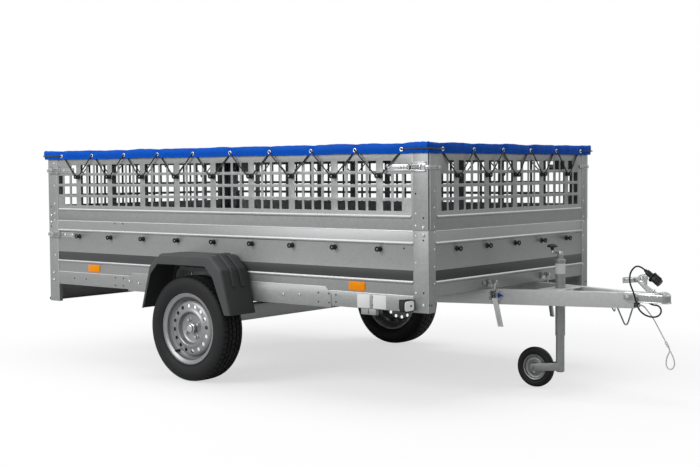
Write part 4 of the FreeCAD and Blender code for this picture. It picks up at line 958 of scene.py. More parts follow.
def rope_hooks():
    """Moulded hooks: a round foot, a stem and a dished head."""
    profile = [(0, 0), (0, 12.8), (1, 13.2), (4, 13), (6.5, 11), (8.5, 8), (10, 6.5), (17.5, 6.5),
               (19, 8.8), (20, 11.8), (22, 12.8), (25.5, 12.8), (27.2, 11.6), (27.2, 9.8), (24.5, 8),
               (23.6, 6), (23.6, 0)]
    pattern = painted(button(profile), BLACK_PLASTIC)
    screw = button([(23.5, 3.8), (24.8, 3.4), (25.4, 2), (25.6, 0)], 16)
    pattern = joined([pattern, painted(screw, RIM_PAINT)])
    places = all_walls_places(HOOK_Z, 0, hook_stops)
    places += all_walls_places(LOW_HOOK_Z, 0, lambda wall: [] if wall == "rear" else hook_stops(wall))
    finished(repeated(pattern, places), "rope_hooks", "bed", hides=["cover_hooks"])


def wall_lacing(wall):
    """The cord's way along one wall from its left eyelet to its right one.

    Left of the middle hook it leaves each hook outside the skirt; right of it, behind the hem.
    """
    hooks, pitch = WALLS[wall][3:]
    outside = SKIRT_OUT + LACE_RADIUS
    behind = 3.9 * MM
    stem = 14 * MM
    wrap = 6.4 * MM + LACE_RADIUS
    half = pitch / 2
    drop = EYELET_Z - HOOK_Z
    span = math.hypot(half, drop)
    touch = math.atan2(drop, half) - math.acos(wrap / span)
    hem_z = 1150 * MM
    points = []

    def eyelet(along, inwards):
        steps = [(EYELET_Z, outside), (EYELET_Z + 1 * MM, outside - 3 * MM), (EYELET_Z - 3 * MM, behind)]
        for z, out in steps if inwards else steps[::-1]:
            points.append(on_wall(wall, along, z, out))

    def hem(along, toward):
        share = (EYELET_Z - hem_z) / drop
        points.append(on_wall(wall, along + (toward - along) * share, hem_z, behind + 0.5 * MM))

    middle = (hooks - 1) // 2
    stops = hook_stops(wall)
    ends = eyelet_places(wall)
    for k, at in enumerate(stops):
        left_behind = k <= middle
        right_behind = k >= middle
        if k == 0:
            eyelet(ends[0], True)
        if left_behind:
            hem(ends[k], at)
        for step in range(5):
            angle = math.pi - touch + (math.pi + 2 * touch) * step / 4
            points.append(on_wall(wall, at + math.cos(angle) * wrap, HOOK_Z + math.sin(angle) * wrap, stem))
        if right_behind:
            hem(ends[k + 1], at)
        eyelet(ends[k + 1], not right_behind)
    return points


def lacing():
    """One elastic cord round all four walls, over the corners from eyelet to eyelet."""
    route = []
    reach = SKIRT_OUT + 5.5 * MM
    corners = {"right": (FRONT_X + reach, -SIDE_Y - reach), "front": (FRONT_X + reach, SIDE_Y + reach),
               "left": (REAR_X - reach, SIDE_Y + reach), "rear": (REAR_X - reach, -SIDE_Y - reach)}
    for wall in WALLS:
        route += wall_lacing(wall)
        x, y = corners[wall]
        route.append(Vector((x, y, EYELET_Z + 2 * MM)))
    piece = tube(route + route[:1], LACE_RADIUS, 3)
    finished(piece, "lacing_cord", "bed", ELASTIC, hides=["cover_cord"], angle=60)


cover_piece()
finished(repeated(eyelet_pattern(), all_walls_places(EYELET_Z, SKIRT_OUT - 1.2 * MM, eyelet_places)),
         "cover_eyelets", "bed")
rope_hooks()
lacing()


# Fasteners


def rivet_pattern():
    """A low domed rivet head."""
    return button([(0, 4.8), (0.8, 4.6), (1.9, 3.2), (2.3, 1.2), (2.3, 0)], 14)


def bolt_pattern():
    """A domed bolt head on its washer."""
    return button([(0, 9), (1.4, 9), (1.6, 7.6), (3.2, 7.2), (5.4, 4.6), (6.2, 0)], 18)


def hole_pattern():
    """A punched hole, shown as a dark disc just proud of the sheet."""
    return button([(0, 4.4), (0.35, 4.2), (0.3, 3.4), (0.15, 0)], 14)


def nut_pattern():
    """A hexagon nut on a washer with the bolt's end proud of it."""
    washer = button([(0, 10), (1.5, 10), (1.6, 6)], 18)
    hexagon = button([(1.5, 7.4), (7.0, 7.4), (7.6, 6.6), (7.6, 4.0), (11, 3.8), (11.6, 0)], 6)
    return joined([washer, hexagon])


def both_sides(places):
    """Placings on the right side wall and their mirror images on the left one."""
    result = []
    for x, z, out in places:
        result.append(facing((x, -SIDE_Y - out, z), -Y))
        result.append(facing((x, SIDE_Y + out, z), Y))
    return result


def both_halves(x, outward, places):
    """Placings on an end wall, right and left of its middle."""
    result = []
    for y, z in places:
        result.append(facing((x, -y, z), outward))
        result.append(facing((x, y, z), outward))
    return result


def post_fasteners():
    """Rivets, bolts and spare holes of the posts, by height, in their upright rows."""
    front = FRONT_X + POST_PROUD
    rear = REAR_X - POST_PROUD
    near, far = 897 * MM, 940 * MM
    rivets = {near: (0.8815, 0.826, 0.7795, 0.656, 0.518),
              rear + 54 * MM: (1.135, 1.004, 0.899, 0.841, 0.803, 0.596)}
    bolts = {far: (0.8172, 0.782, 0.463), rear + 23 * MM: (0.830, 0.791), rear + 38 * MM: (0.491, 0.450)}
    holes = {near: (1.083, 0.972), far: (0.8616, 0.760, 0.520), rear + 23 * MM: (0.881, 0.766)}
    rivets, bolts, holes = (
        both_sides([(x, z, POST_PROUD) for x, heights in rows.items() for z in heights])
        for rows in (rivets, bolts, holes))
    face_rivets = [(709 * MM, z) for z in (0.983, 0.908, 0.821, 0.796, 0.7176, 0.6387, 0.561)]
    face_holes = [(747 * MM, 464 * MM), (731 * MM, 463 * MM)]
    rivets += both_halves(front, X, face_rivets) + both_halves(rear, -X, face_rivets)
    holes += both_halves(front, X, face_holes)
    finished(repeated(rivet_pattern(), rivets), "post_rivets", "bed", RIVET_STEEL)
    finished(repeated(bolt_pattern(), bolts), "post_bolts", "bed", ZINC)
    finished(repeated(hole_pattern(), holes), "post_holes", "bed", HOLE_SHADOW)


def rail_fasteners():
    """Bolts and spare holes of the side plates, the rails and the side walls."""
    plate = 3.1 * MM
    on_plate = [(314, 488), (381, 487), (314, 443), (381, 443)]
    on_rail = [(422, 483), (422, 448), (645, 484), (645, 447), (-1545, 467), (-1440, 467), (-1183, 487),
               (-1115, 487), (-1184, 444), (-1116, 444), (829, 720), (-1181, 793), (-1115, 793)]
    holes = [(x * MM, z * MM, plate) for x, z in on_plate]
    holes += [(x * MM, z * MM, 0.1 * MM) for x, z in on_rail]
    bolts = [(x * MM, z * MM, plate) for x, z in ((86, 466), (193, 472), (-1062, 473), (-986, 466))]
    finished(repeated(hole_pattern(), both_sides(holes)), "rail_holes", "bed",
             HOLE_SHADOW)
    finished(repeated(bolt_pattern(), both_sides(bolts)), "rail_bolts", "bed", ZINC)
    hanging = [facing(mm(x, y, 428), -Z, X) for x in (-27, 135, 350) for y in (-741, 741)]
    finished(repeated(nut_pattern(), hanging), "rail_nuts", "bed", ZINC)


def rail_brackets():
    """A folded support plate under each rail, and a rubber buffer low on each rear post."""
    plate = block(mm(572, -752, 399), mm(662, -729, 428.5), 2 * MM)
    rib = block(mm(612, -756, 402), mm(618, -729, 428.5), 1 * MM)
    in_pairs(joined([plate, rib]), "rail_brackets", "bed", SHEET_STEEL)
    buffer = turned([(0, 12), (6, 12), (10, 10), (13, 6), (14, 0)],
                    Vector((REAR_X - POST_PROUD, -745 * MM, 338 * MM)), -X, 24)
    in_pairs(buffer, "post_buffers", "bed", BLACK_RUBBER)


post_fasteners()
rail_fasteners()


# Road wheels


def ring_places(count, radius, reach, start):
    """Placings spaced evenly round the right wheel's axis, facing outwards."""
    out = -Y
    first = out.cross(Z).normalized()
    places = []
    for k in range(count):
        spoke = Matrix.Rotation(start + math.tau * k / count, 3, out) @ first
        places.append(facing(WHEEL + spoke * radius + out * reach, out, spoke))
    return places


def tyre_piece():
    """A road tyre: smooth sidewalls, four grooves round it and narrow slots across it."""
    outer = [(54.5, 166), (56.5, 174), (58.5, 182.5), (62.5, 185), (66.5, 187.5), (68, 190), (67.4, 193),
             (73, 203), (76.5, 218), (77.4, 230), (77, 240), (75.6, 243), (75.8, 246), (74, 251),
             (70.5, 258.5), (66, 264), (61, 267.6), (56, 269.6), (43, 271.9), (42.2, 265.3), (36.2, 265.6),
             (35.4, 272.5), (19.5, 273.2), (18.7, 266.1), (11.9, 266.3), (11.1, 273.4), (0, 273.4)]
    inner = [(52.5, 168), (60, 190), (72, 225), (68, 248), (50, 260), (0, 262)]
    profile = closed_both_ways(outer) + closed_both_ways(inner)[::-1] + outer[:1]
    steps = 280
    piece = turned(profile, WHEEL, -Y, steps)
    bands = [(44, 67, 0), (20, 35, 2), (-10.5, 10.5, 4), (-35, -20, 1), (-67, -44, 3)]

    def is_slot(face):
        place = (face.center - WHEEL) / MM
        if math.hypot(place.x, place.z) < 262.5:
            return False
        index = int((math.atan2(place.z, place.x) / math.tau + 1) * steps) % 5
        return any(low < -place.y < high and index == phase for low, high, phase in bands)

    chosen(piece, is_slot)
    bpy.ops.mesh.inset(thickness=1.7 * MM, depth=-4.5 * MM, use_boundary=True)
    shaped()
    return piece


def rim_piece():
    """A pressed steel rim: a stepped barrel and a crowned disc with sixteen vents."""
    barrel = [(63.5, 184), (60.5, 182.6), (58, 173), (55.5, 166.5), (38, 164.5), (33, 160), (25, 149),
              (-20, 148.5), (-30, 159), (-36, 164), (-55.5, 166), (-57, 173), (-59, 181.5),
              (-62, 182.4), (-62, 179.4), (-60, 178.4), (-57.5, 169), (-53, 162.8), (-36, 161),
              (-30, 155.5), (-21, 145.2), (23, 145.5), (31, 156.5), (40, 161.4), (53, 162.8),
              (57.5, 169), (61, 178.8), (63.5, 180), (63.5, 184)]
    disc = [(18, 145.4), (33, 142.5), (39, 137), (42.5, 130), (44, 117), (44.5, 106), (48, 99),
            (50.5, 94), (50.5, 89), (47.5, 84.5), (38, 80.5), (27, 76), (23.5, 68), (22.5, 60), (22.5, 24),
            (18.5, 24), (18.5, 70), (22, 79), (34, 84), (45, 90), (41, 104), (40, 117), (38, 128),
            (34.5, 134), (28, 139), (14, 141.5), (18, 145.4)]
    barrel = turned(barrel, WHEEL, -Y, 96)
    disc = turned(disc, WHEEL, -Y, 96)
    bpy.ops.object.select_all(action="DESELECT")
    bpy.ops.mesh.primitive_cylinder_add(vertices=20, radius=10.4 * MM, depth=60 * MM)
    vents = repeated(bpy.context.object, ring_places(16, 117 * MM, 42 * MM, 0.1))
    cut(disc, vents)
    rounded(disc, 0.7 * MM, 2, 40)
    return joined([barrel, disc])


def hub_piece():
    """The brakeless hub behind the disc, its dust cap and four wheel bolts."""
    drum = [(-52, 0), (-52, 30), (-46, 34), (-20, 36), (-14, 60), (-8, 66), (14, 66), (18, 64),
            (18, 0)]
    cap = [(18, 23), (36, 23), (38, 25.5), (41, 25.5), (43, 22), (52, 20.5), (55, 16), (56, 0)]
    bolt = button([(0, 13), (3, 12.5), (5, 9.8), (14, 9.6), (16, 7.6), (16.4, 0)], 6)
    bolts = repeated(bolt, ring_places(4, 49 * MM, 22 * MM, 0.5))
    drum = turned(drum, WHEEL, -Y, 48)
    cap = turned(cap, WHEEL, -Y, 48)
    painted(drum, BEAM_STEEL)
    painted(cap, ZINC)
    painted(bolts, ZINC)
    return joined([drum, cap, bolts])


def valve_piece():
    """The rubber valve that leans out of the rim's barrel."""
    spoke = Vector((-0.62, 0, -0.78)).normalized()
    root = WHEEL + spoke * 152 * MM - Y * 32 * MM
    tip = WHEEL + spoke * 158 * MM - Y * 60 * MM
    stem = [(0, 0), (0, 6), (4, 5.6), (9, 4.2), (17, 3.8), (17.5, 4.6), (27, 4.6), (29, 3.4), (29, 0)]
    return turned(stem, root, (tip - root).normalized(), 16)


def road_wheels():
    """Tyre, rim, hub and valve, made on the right and mirrored to the left."""
    pieces = {"tyre": (tyre_piece(), TYRE_RUBBER, "tyre_rubber", "wheel_tyre_"),
              "rim": (rim_piece(), RIM_PAINT, "rim_paint", "wheel_rim_"),
              "hub": (hub_piece(), None, "zinc_fittings", "wheel_hub_"),
              "valve": (valve_piece(), BLACK_RUBBER, "black_rubber", None)}
    for name, (piece, material, slot, node) in pieces.items():
        for side, made in (("left", mirrored(piece)), ("right", piece)):
            hides = [node + side] if node else ()
            finished(made, "road_" + name + "_" + side, "wheel_" + side, material, hides, 30)


road_wheels()


# Fenders

# The outlines of arch and crown are x from the wheel and z, in millimetres
FENDER_OUTER, FENDER_INNER = (corner.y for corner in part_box("fender_right"))
FENDER_ARCH = [(288, 364), (208, 548), (153, 604), (-197, 604), (-252, 548), (-311, 364)]
FENDER_CROWN = [(-327, 364), (-263, 587), (-178, 657), (186, 657), (266, 587), (326, 364)]


def rounded_line(points, radius):
    """A line of flat (x, z) points whose inner corners are rounded."""
    steps = 7
    line = [points[0]]
    for before, corner, after in zip(points, points[1:], points[2:]):
        before, corner, after = Vector(before), Vector(corner), Vector(after)
        back = (before - corner).normalized()
        ahead = (after - corner).normalized()
        half = back.angle(ahead) / 2
        reach = radius / math.tan(half)
        centre = corner + (back + ahead).normalized() * radius / math.sin(half)
        start = corner + back * reach - centre
        end = corner + ahead * reach - centre
        for step in range(steps + 1):
            spoke = start.slerp(end, step / steps) if start.length else start
            line.append(centre + spoke.normalized() * radius)
    line.append(points[-1])
    return [Vector(p) for p in line]


def fender_place(x, z, y=FENDER_OUTER):
    """A point given from the wheel's own x."""
    return Vector((WHEEL.x + x * MM, y, z * MM))


def fender_shell():
    """A vacuum-formed shell: one skin bent over the wheel with a band down each side."""
    crown = rounded_line(FENDER_CROWN, 30)
    arch = rounded_line(FENDER_ARCH, 22)
    points = [fender_place(*p) for p in crown + arch]
    piece = pulled(points, Y * (FENDER_INNER - FENDER_OUTER))
    feet = 364.5 * MM
    chosen(piece, lambda face: abs(face.normal.y) <= 0.5 and (face.center.z < feet or face.normal.z < 0.0))
    bpy.ops.mesh.delete(type="FACE")
    shaped()
    chosen(piece, lambda face: abs(face.normal.y) < 0.5)
    bpy.ops.mesh.region_to_loop()
    shaped()
    places = [vertex.co for vertex in piece.data.vertices]
    rim = set()
    for edge in piece.data.edges:
        start, end = (places[index] for index in edge.vertices)
        if edge.select and min(start.z, end.z) > feet - 1 * MM and abs(start.y - end.y) < MM:
            rim.add(edge.index)
    chosen_edges(piece, lambda edge: edge.index in rim)
    bpy.ops.mesh.bevel(offset=13 * MM, segments=4, affect="EDGES")
    shaped()
    return modify(piece, "SOLIDIFY", thickness=3.5 * MM, offset=-1)


def fender_ribs():
    """Two pressed ribs that run from the crown over the front knee to round lower ends."""
    path = [Vector((158, 657)), Vector((186, 657)), Vector((266, 587)), Vector((287, 509))]
    half = 14
    overlap = 3
    whole_length = 230
    ribs = []
    for crown_y, foot_y in ((-871, -883), (-817, -823)):
        travelled = 0
        for start, end in zip(path, path[1:]):
            length = (end - start).length
            down = Vector((end.x - start.x, 0, end.y - start.y)) / length
            out = Vector((-down.z, 0, down.x))
            plan = [(-half, -overlap), (-half, length), (half, length), (half, -overlap)]
            if end is path[-1]:
                plan[2:2] = [(-half * math.cos(a), length + half * math.sin(a))
                             for a in (math.pi * k / 8 for k in range(1, 8))]
            points = []
            for side, along in plan:
                y = side + crown_y + (foot_y - crown_y) * (travelled + along) / whole_length
                points.append(fender_place(start.x, start.y, y * MM) + down * along * MM - out * 2 * MM)
            ribs.append(pulled(points, out * 10 * MM, 3.4 * MM, 3))
            travelled += length
    return joined(ribs)


def fenders():
    """Both fenders: the shell with its ribs and the beaded lip of its arch, and two zinc stays."""
    lip_radius = 2.6 * MM
    shell = joined([fender_shell(), fender_ribs()])
    lip = tube([fender_place(*p, FENDER_OUTER + lip_radius) for p in rounded_line(FENDER_ARCH, 22)],
               lip_radius)
    right = joined([shell, lip])
    stays = [block((x - 9 * MM, -761 * MM, 505 * MM), (x + 9 * MM, -757 * MM, 548 * MM), 1 * MM)
             for x in (WHEEL.x - 150 * MM, WHEEL.x + 140 * MM)]
    stays = painted(joined(stays), ZINC)
    painted(right, FENDER_PLASTIC)
    for side, piece, held in (("left", mirrored(right), mirrored(stays)), ("right", right, stays)):
        finished(piece, "fender_shell_" + side, "bed", None, ["fender_" + side], 40)
        finished(held, "fender_stays_" + side, "bed")


fenders()


# Lamps, reflectors and labels

# The light board's rear face, in millimetres
BOARD_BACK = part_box("rear_light_board")[0].x / MM


def front_lamps():
    """Clear lamps in rubber boots that stand out from the front posts' sides."""
    arm = pulled([mm(x, y, 438) for x, y in ((806, -757), (812, -776), (866, -812), (870, -757))],
                 Z * 46 * MM, 5 * MM, 3)
    rim = rounded_plate(mm(862, -838, 432), mm(888, -757.5, 490), 0, 15 * MM, 3 * MM)
    glass = rounded_plate(mm(870, -832, 438), mm(893, -763, 484), 0, 12 * MM, 5 * MM)
    eye = mm(893, -790, 461)
    core = turned([(0, 6), (0.8, 5.6), (1.2, 3), (1.3, 0)], eye, X, 20)
    ring = turned([(0, 16), (0.9, 15.5), (0.9, 13.5), (0, 13)], eye, X, 32)
    in_pairs(joined([arm, rim]), "front_lamp_boots", "bed", BLACK_RUBBER, ["front_lamps"])
    in_pairs(joined([glass, ring]), "front_lamp_lenses", "bed", CLEAR)
    in_pairs(core, "front_lamp_cores", "bed", BLACK_PLASTIC)


def side_reflectors():
    """Amber reflectors in thin frames."""
    frames = []
    lenses = []
    for x in (503, -1416):
        frames.append(rounded_plate(mm(x, -757.5, 510), mm(x + 100, -755, 552), 1, 4 * MM, 0.8 * MM))
        lenses.append(rounded_plate(mm(x + 3, -760, 513), mm(x + 97, -757, 549), 1, 3 * MM, 1 * MM))
    in_pairs(joined(frames), "reflector_frames", "bed", AMBER, ["side_reflectors"])
    in_pairs(joined(lenses), "reflector_lenses", "bed", AMBER)


def rear_lamps():
    """Rear clusters: a black base under three lens fields."""
    base = rounded_plate(mm(BOARD_BACK - 12, -685, 348), mm(BOARD_BACK, -485, 448), 0, 10 * MM, 2 * MM)
    fields = {"amber_lens": (-681, -619, AMBER), "red_lens": (-617, -543, RED),
              "zinc_fittings": (-541, -489, CLEAR)}
    in_pairs(base, "rear_lamp_bases", "bed", BLACK_PLASTIC, ["rear_lamps"])
    face = BOARD_BACK - 23.5
    for slot, (low_y, high_y, material) in fields.items():
        field = rounded_plate(mm(face, low_y, 352), mm(BOARD_BACK - 10, high_y, 444), 0, 6 * MM, 4 * MM)
        in_pairs(field, "rear_lamp_" + material.name, "bed", material)
    screws = repeated(rivet_pattern(), [facing(mm(face, y, 398), -X) for y in (-618, -542)])
    in_pairs(screws, "rear_lamp_screws", "bed", ZINC)


def rear_marks():
    """Red triangles and a blank number plate on the light board."""
    corners = [(-452, 356), (-336, 356), (-394, 456)]
    rim = pulled([mm(BOARD_BACK, y, z) for y, z in corners], -X * 5 * MM, 2 * MM, 2)
    in_pairs(rim, "rear_triangles", "bed", RED)
    holder = rounded_plate(mm(BOARD_BACK - 4, -266, 346), mm(BOARD_BACK, 266, 462), 0, 6 * MM, 1.2 * MM)
    plate = rounded_plate(mm(BOARD_BACK - 5.5, -260, 352), mm(BOARD_BACK - 3.5, 260, 456), 0,
                          6 * MM, 0.4 * MM)
    finished(holder, "number_plate_holder", "bed", BLACK_PLASTIC)
    finished(plate, "number_plate_blank", "bed", BLANK_FILM)


def labels():
    """Blank white labels on the right rail and on the jockey tube."""
    out = -SIDE_Y - FILM_THICK
    for name, behind, ahead in (("rail_label_1", 412, 338), ("rail_label_2", 318, 241)):
        film((FRONT_X - behind * MM, out, RAIL_BOTTOM + 3 * MM),
             (FRONT_X - ahead * MM, -SIDE_Y, RAIL_TOP - 6 * MM), name, "bed", BLANK_FILM)
    wrap = jockey_round([(570, 24), (570, 24.5), (620, 24.5), (620, 24)], 48)
    toward_camera = Vector((0.49, -0.87, 0))
    chosen(wrap, lambda face: (face.center - Vector((JOCKEY_X, 0, 0))).dot(toward_camera) < 0)
    bpy.ops.mesh.delete(type="FACE")
    shaped()
    finished(wrap, "tube_label", "chassis", BLANK_FILM)


rail_brackets()
front_lamps()
side_reflectors()
rear_lamps()
rear_marks()
labels()


# Latches


def corner_latch(reach):
    """An over-centre latch: made for the front right corner at height 0, corner at the origin.

    Its strap reaches that many millimetres round the corner.
    """
    plate = rounded_plate(mm(-236, -3, -16), mm(-92, 0, 14), 1, 5 * MM, 0.8 * MM)
    channel = [block(mm(-232, -10, z - 1.3), mm(-104, -2, z + 1.3), 0.6 * MM) for z in (-11, 10)]
    lever = rounded_plate(mm(-232, -6, -10), mm(-112, -4, 9), 1, 4 * MM, 0.8 * MM)
    bosses = repeated(bolt_pattern(), [facing(mm(x, -5.8, 0), -Y) for x in (-218, -152)])
    pins = [tube([mm(x, -7, -14), mm(x, -7, 12)], 1.9 * MM) for x in (-112, -130)]
    spool = tube([mm(-101, -9.5, -13), mm(-101, -9.5, 14)], 5 * MM, 3)
    catch = rounded_plate(mm(-96, -4, -18), mm(-8, 0, 24), 1, 5 * MM, 0.8 * MM)
    cheeks = [block(mm(-96, -12, z - 1.3), mm(-8, -3, z + 1.3), 0.6 * MM) for z in (-16.6, 22.6)]
    coil = [tube([mm(x, -4.5, -9), mm(x + 1.5, -8.5, 0), mm(x, -4.5, 9)], 1.6 * MM) for x in
            range(-86, -42, 6)]
    bow = [tube([mm(-101, -8, z), mm(-40, -7, z)], 1.7 * MM) for z in (-10.5, 10.5)]
    end_bar = block(mm(-42, -10, -12), mm(-36, -4, 12), 1.2 * MM)
    lid = rounded_plate(mm(-36, -7, -13), mm(-10, -4, 17), 1, 4 * MM, 0.8 * MM)
    strap_side = block(mm(-14, -7, -9), mm(6, -2, 9), 0.8 * MM)
    strap_front = block(mm(2, -7, -9), mm(6.5, reach, 9), 0.8 * MM)
    ridges = [block(mm(6, y, -6), mm(8.6, y + 4, 6), 0.8 * MM) for y in range(12, reach - 8, 9)]
    edges = [block(mm(6, 4, z - 1), mm(8.8, reach, z + 1), 0.5 * MM) for z in (-8, 8)]
    heads = repeated(rivet_pattern(), [facing(mm(x, -3.5, z), -Y) for x, z in
                                       ((-16, 20), (-60, 19.4), (-86, 19.4), (-16, -13.5))])
    return joined([plate, lever, bosses, spool, catch, end_bar, lid, strap_side, strap_front, heads]
                  + channel + pins + cheeks + coil + bow + ridges + edges)


def corner_latches():
    """The latches round both upper ends, and the shorter pair that holds the tailgate."""
    latches = []
    for end_x, end, z, reach in ((FRONT_X, 1, 1.092, 92), (REAR_X, -1, 1.092, 92),
                                 (REAR_X, -1, 0.719, 52)):
        places = [Matrix.Translation((end_x, side * (SIDE_Y + 0.2 * MM), z))
                  @ Matrix.Diagonal((end, -side, 1, 1)) for side in (-1, 1)]
        latches.append(repeated(corner_latch(reach), places))
    piece = tidy_shell(joined(latches))
    finished(piece, "corner_latches", "bed", ZINC, hides=["body_latches"])


def gate_strikers():
    """The gate's half of each lower latch: a plate with a hooked tongue."""
    plate = rounded_plate(mm(-1770, -690, 705), mm(-1765.5, -640, 733), 0, 5 * MM, 0.8 * MM)
    tongue = block(mm(-1783, -688, 713), mm(-1768, -668, 725), 2 * MM)
    hook = tube([mm(-1780, -690, 719), mm(-1790, -680, 719), mm(-1792, -662, 719), mm(-1782, -650, 719),
                 mm(-1770, -646, 719)], 2.4 * MM, 2, True)
    studs = repeated(rivet_pattern(), [facing(mm(-1770, y, z), -X) for y, z in ((-656, 711), (-656, 727))])
    in_pairs(joined([plate, tongue, hook, studs]), "gate_strikers", "tailgate", ZINC,
             ["tailgate_strikers"])


corner_latches()
gate_strikers()


def beam_side(x):
    """The y of the right beam's outer face at x, in millimetres."""
    return -(BEAM_SPREAD - (x - BEAM_START) * BEAM_SLOPE)


def pressed_levers():
    """The two lever plates, each with a trough and a raised rib pressed in its outer face."""
    levers = from_frame("tilt_latch_levers", 0.8 * MM)
    large = 2000 * MM * MM
    chosen(levers, lambda face: face.normal.y * face.center.y > 0 and abs(face.normal.y) > 0.9
           and face.area > large)
    bpy.ops.mesh.inset(thickness=2.5 * MM, depth=-2.5 * MM)
    bpy.ops.mesh.inset(thickness=3.5 * MM, depth=2 * MM)
    shaped()
    return levers


def tilt_latches():
    """The bed's two front latches: a hook plate above, a lever plate on the drawbar below."""
    carried("tilt_latch_hooks", "bed", ZINC, 0.8 * MM)
    levers = pressed_levers()
    face = beam_side(1005)
    cheeks = [rounded_plate(mm(x, face - 24, 450), mm(x + 3, face, 496), 0, 5 * MM, 0.8 * MM)
              for x in (984, 1023)]
    bar = tube([mm(981, face - 13, 457), mm(1029, face - 13, 457)], 3.4 * MM, 3)
    pin = tube([mm(974, face - 16, 482), mm(1030, face - 16, 482)], 2.6 * MM, 3)
    ends = repeated(nut_pattern(), [facing(mm(1026, face - 13, 457), X),
                                    facing(mm(984, face - 13, 457), -X)])
    in_pairs(joined(cheeks + [bar, pin, ends]), "tilt_latch_brackets", "chassis", ZINC)
    finished(levers, "tilt_latch_levers_formed", "chassis", ZINC, ["tilt_latch_levers"])
    tag = pulled(side_view([(1029, 487), (1042, 481), (1056, 476), (1059, 470), (1047, 472), (1036, 465),
                            (1029, 464)], face - 27), Y * 7 * MM, 1.6 * MM, 2)
    finished(tag, "latch_pin_tag", "chassis", PIN_BLUE)
    stud = repeated(rivet_pattern(), [facing(mm(1062, beam_side(1062), 478), -Y)])
    finished(stud, "latch_pin_rivet", "chassis", RIVET_STEEL)
    roots = [facing(mm(FRONT_X / MM + 3, y, 533), X) for y in (-296, 296)]
    finished(repeated(nut_pattern(), roots), "tilt_latch_bolts", "bed", ZINC)


tilt_latches()


# Drawbar


def jockey_tube():
    """The outer tube with its rolled cap."""
    tube_piece = jockey_round([(267, 21.6), (267, 24), (627, 24), (628, 26.4), (638, 26.4), (639, 24),
                               (642, 22.5), (643, 15), (664, 15), (665, 14), (665, 0), (640, 0),
                               (640, 21.6), (267, 21.6)], 48)
    finished(tube_piece, "jockey_tube_outer", "chassis", SHEET_STEEL,
             hides=["jockey_outer_tube"])


def jockey_crank():
    """The cranked rod on its collar with a black mushroom knob."""
    rod = tube(side_view([(1226, 671), (1190, 671), (1181, 672), (1176.5, 677), (1176, 692)], 0),
               5 * MM, 3)
    collar = jockey_round([(665, 0), (665, 13), (676, 13), (678, 11), (678, 0)])
    knob = turned([(682, 0), (682, 7), (690, 8.5), (695, 10), (697, 18), (698.5, 25), (701.5, 26.5),
                   (706, 25), (710.5, 18), (713.4, 8), (713.8, 0)], mm(1176, 0, 0), Z, 32)
    painted(knob, BLACK_PLASTIC)
    crank = joined([painted(joined([rod, collar]), ZINC), knob])
    finished(crank, "jockey_crank_rod", "chassis", None, ["jockey_crank"])


def jockey_screw():
    """The lifting screw: a nut at its foot under eighty millimetres of thread."""
    thread = [(441 + k * 2, 9 if k % 2 else 7.6) for k in range(1, 41)]
    screw = jockey_round([(415.4, 0), (415.4, 20), (419, 20.8), (440, 20.8), (441, 9)] + thread
                         + [(523, 0)])
    finished(screw, "jockey_screw", "jockey_spindle", ZINC, ["jockey_spindle"])


def jockey_leg():
    """The inner tube with its closed, rounded bottom."""
    leg = jockey_round([(87, 0), (87, 15), (88.5, 18.5), (92, 21), (414, 21), (415, 20), (415, 18),
                        (96, 18), (96, 0)], 40)
    finished(leg, "jockey_tube_inner", "jockey_leg", SHEET_STEEL,
             ["jockey_inner_tube"])


def jockey_fork():
    """Two flat arms, bent in and welded to the inner tube, with the wheel's axle between them."""
    radius = 19
    axle_height = 100
    eye = [(CASTER.x / MM + radius * math.cos(a), axle_height + radius * math.sin(a)) for a in
           (math.pi / 2 + math.pi * k / 12 for k in range(13))]
    tube_side = JOCKEY_X / MM - 20
    arm = pulled(side_view(eye + [(tube_side, 94), (tube_side, 133)], -32.5), Y * 5 * MM, 1 * MM)
    bend = ((-3, -32.5), (14, -25), (24, -21.5), (18, -14), (-3, -27.5))
    root = pulled([mm(tube_side + x, y, 94) for x, y in bend], Z * 39 * MM, 1 * MM)
    weld = tube([mm(tube_side + 16, -21.6, z) for z in (92, 135)], 2.6 * MM, 3)
    side = joined([arm, root, weld])
    pin = turned([(-33, 0), (-33, 8), (33, 8), (33, 0)], CASTER, Y, 24)
    fork = joined([side, mirrored(side), pin])
    ends = repeated(nut_pattern(), [facing(CASTER - Y * 32.5 * MM, -Y), facing(CASTER + Y * 32.5 * MM, Y)])
    finished(joined([fork, ends]), "jockey_fork_formed", "jockey_leg", SHEET_STEEL,
             ["jockey_fork"])


def caster_wheel():
    """The jockey wheel: a solid rubber tyre on a dished rim."""
    half = [(14, 62), (15.5, 64), (19.5, 68), (22, 77), (21.6, 86), (18, 93.5), (11, 98.3), (0, 100)]
    inner = [(12, 63), (0, 62.5)]
    tyre = turned(closed_both_ways(half) + closed_both_ways(inner)[::-1] + half[:1], CASTER, -Y, 72)
    finished(tyre, "caster_tyre", "jockey_wheel", BLACK_RUBBER, ["jockey_wheel_tyre"])
    rim = [(15, 64), (15.8, 62), (14.5, 57), (7, 53), (5, 46), (6, 38), (9, 34), (11, 28), (9, 22),
           (12, 18), (21.5, 17), (22, 12), (0, 12)]
    disc = turned(closed_both_ways(rim) + [(-10, 63.5), (10, 63.5), (15, 64)], CASTER, -Y, 64)
    finished(disc, "caster_rim", "jockey_wheel", RIM_PAINT, ["jockey_wheel_rim"])


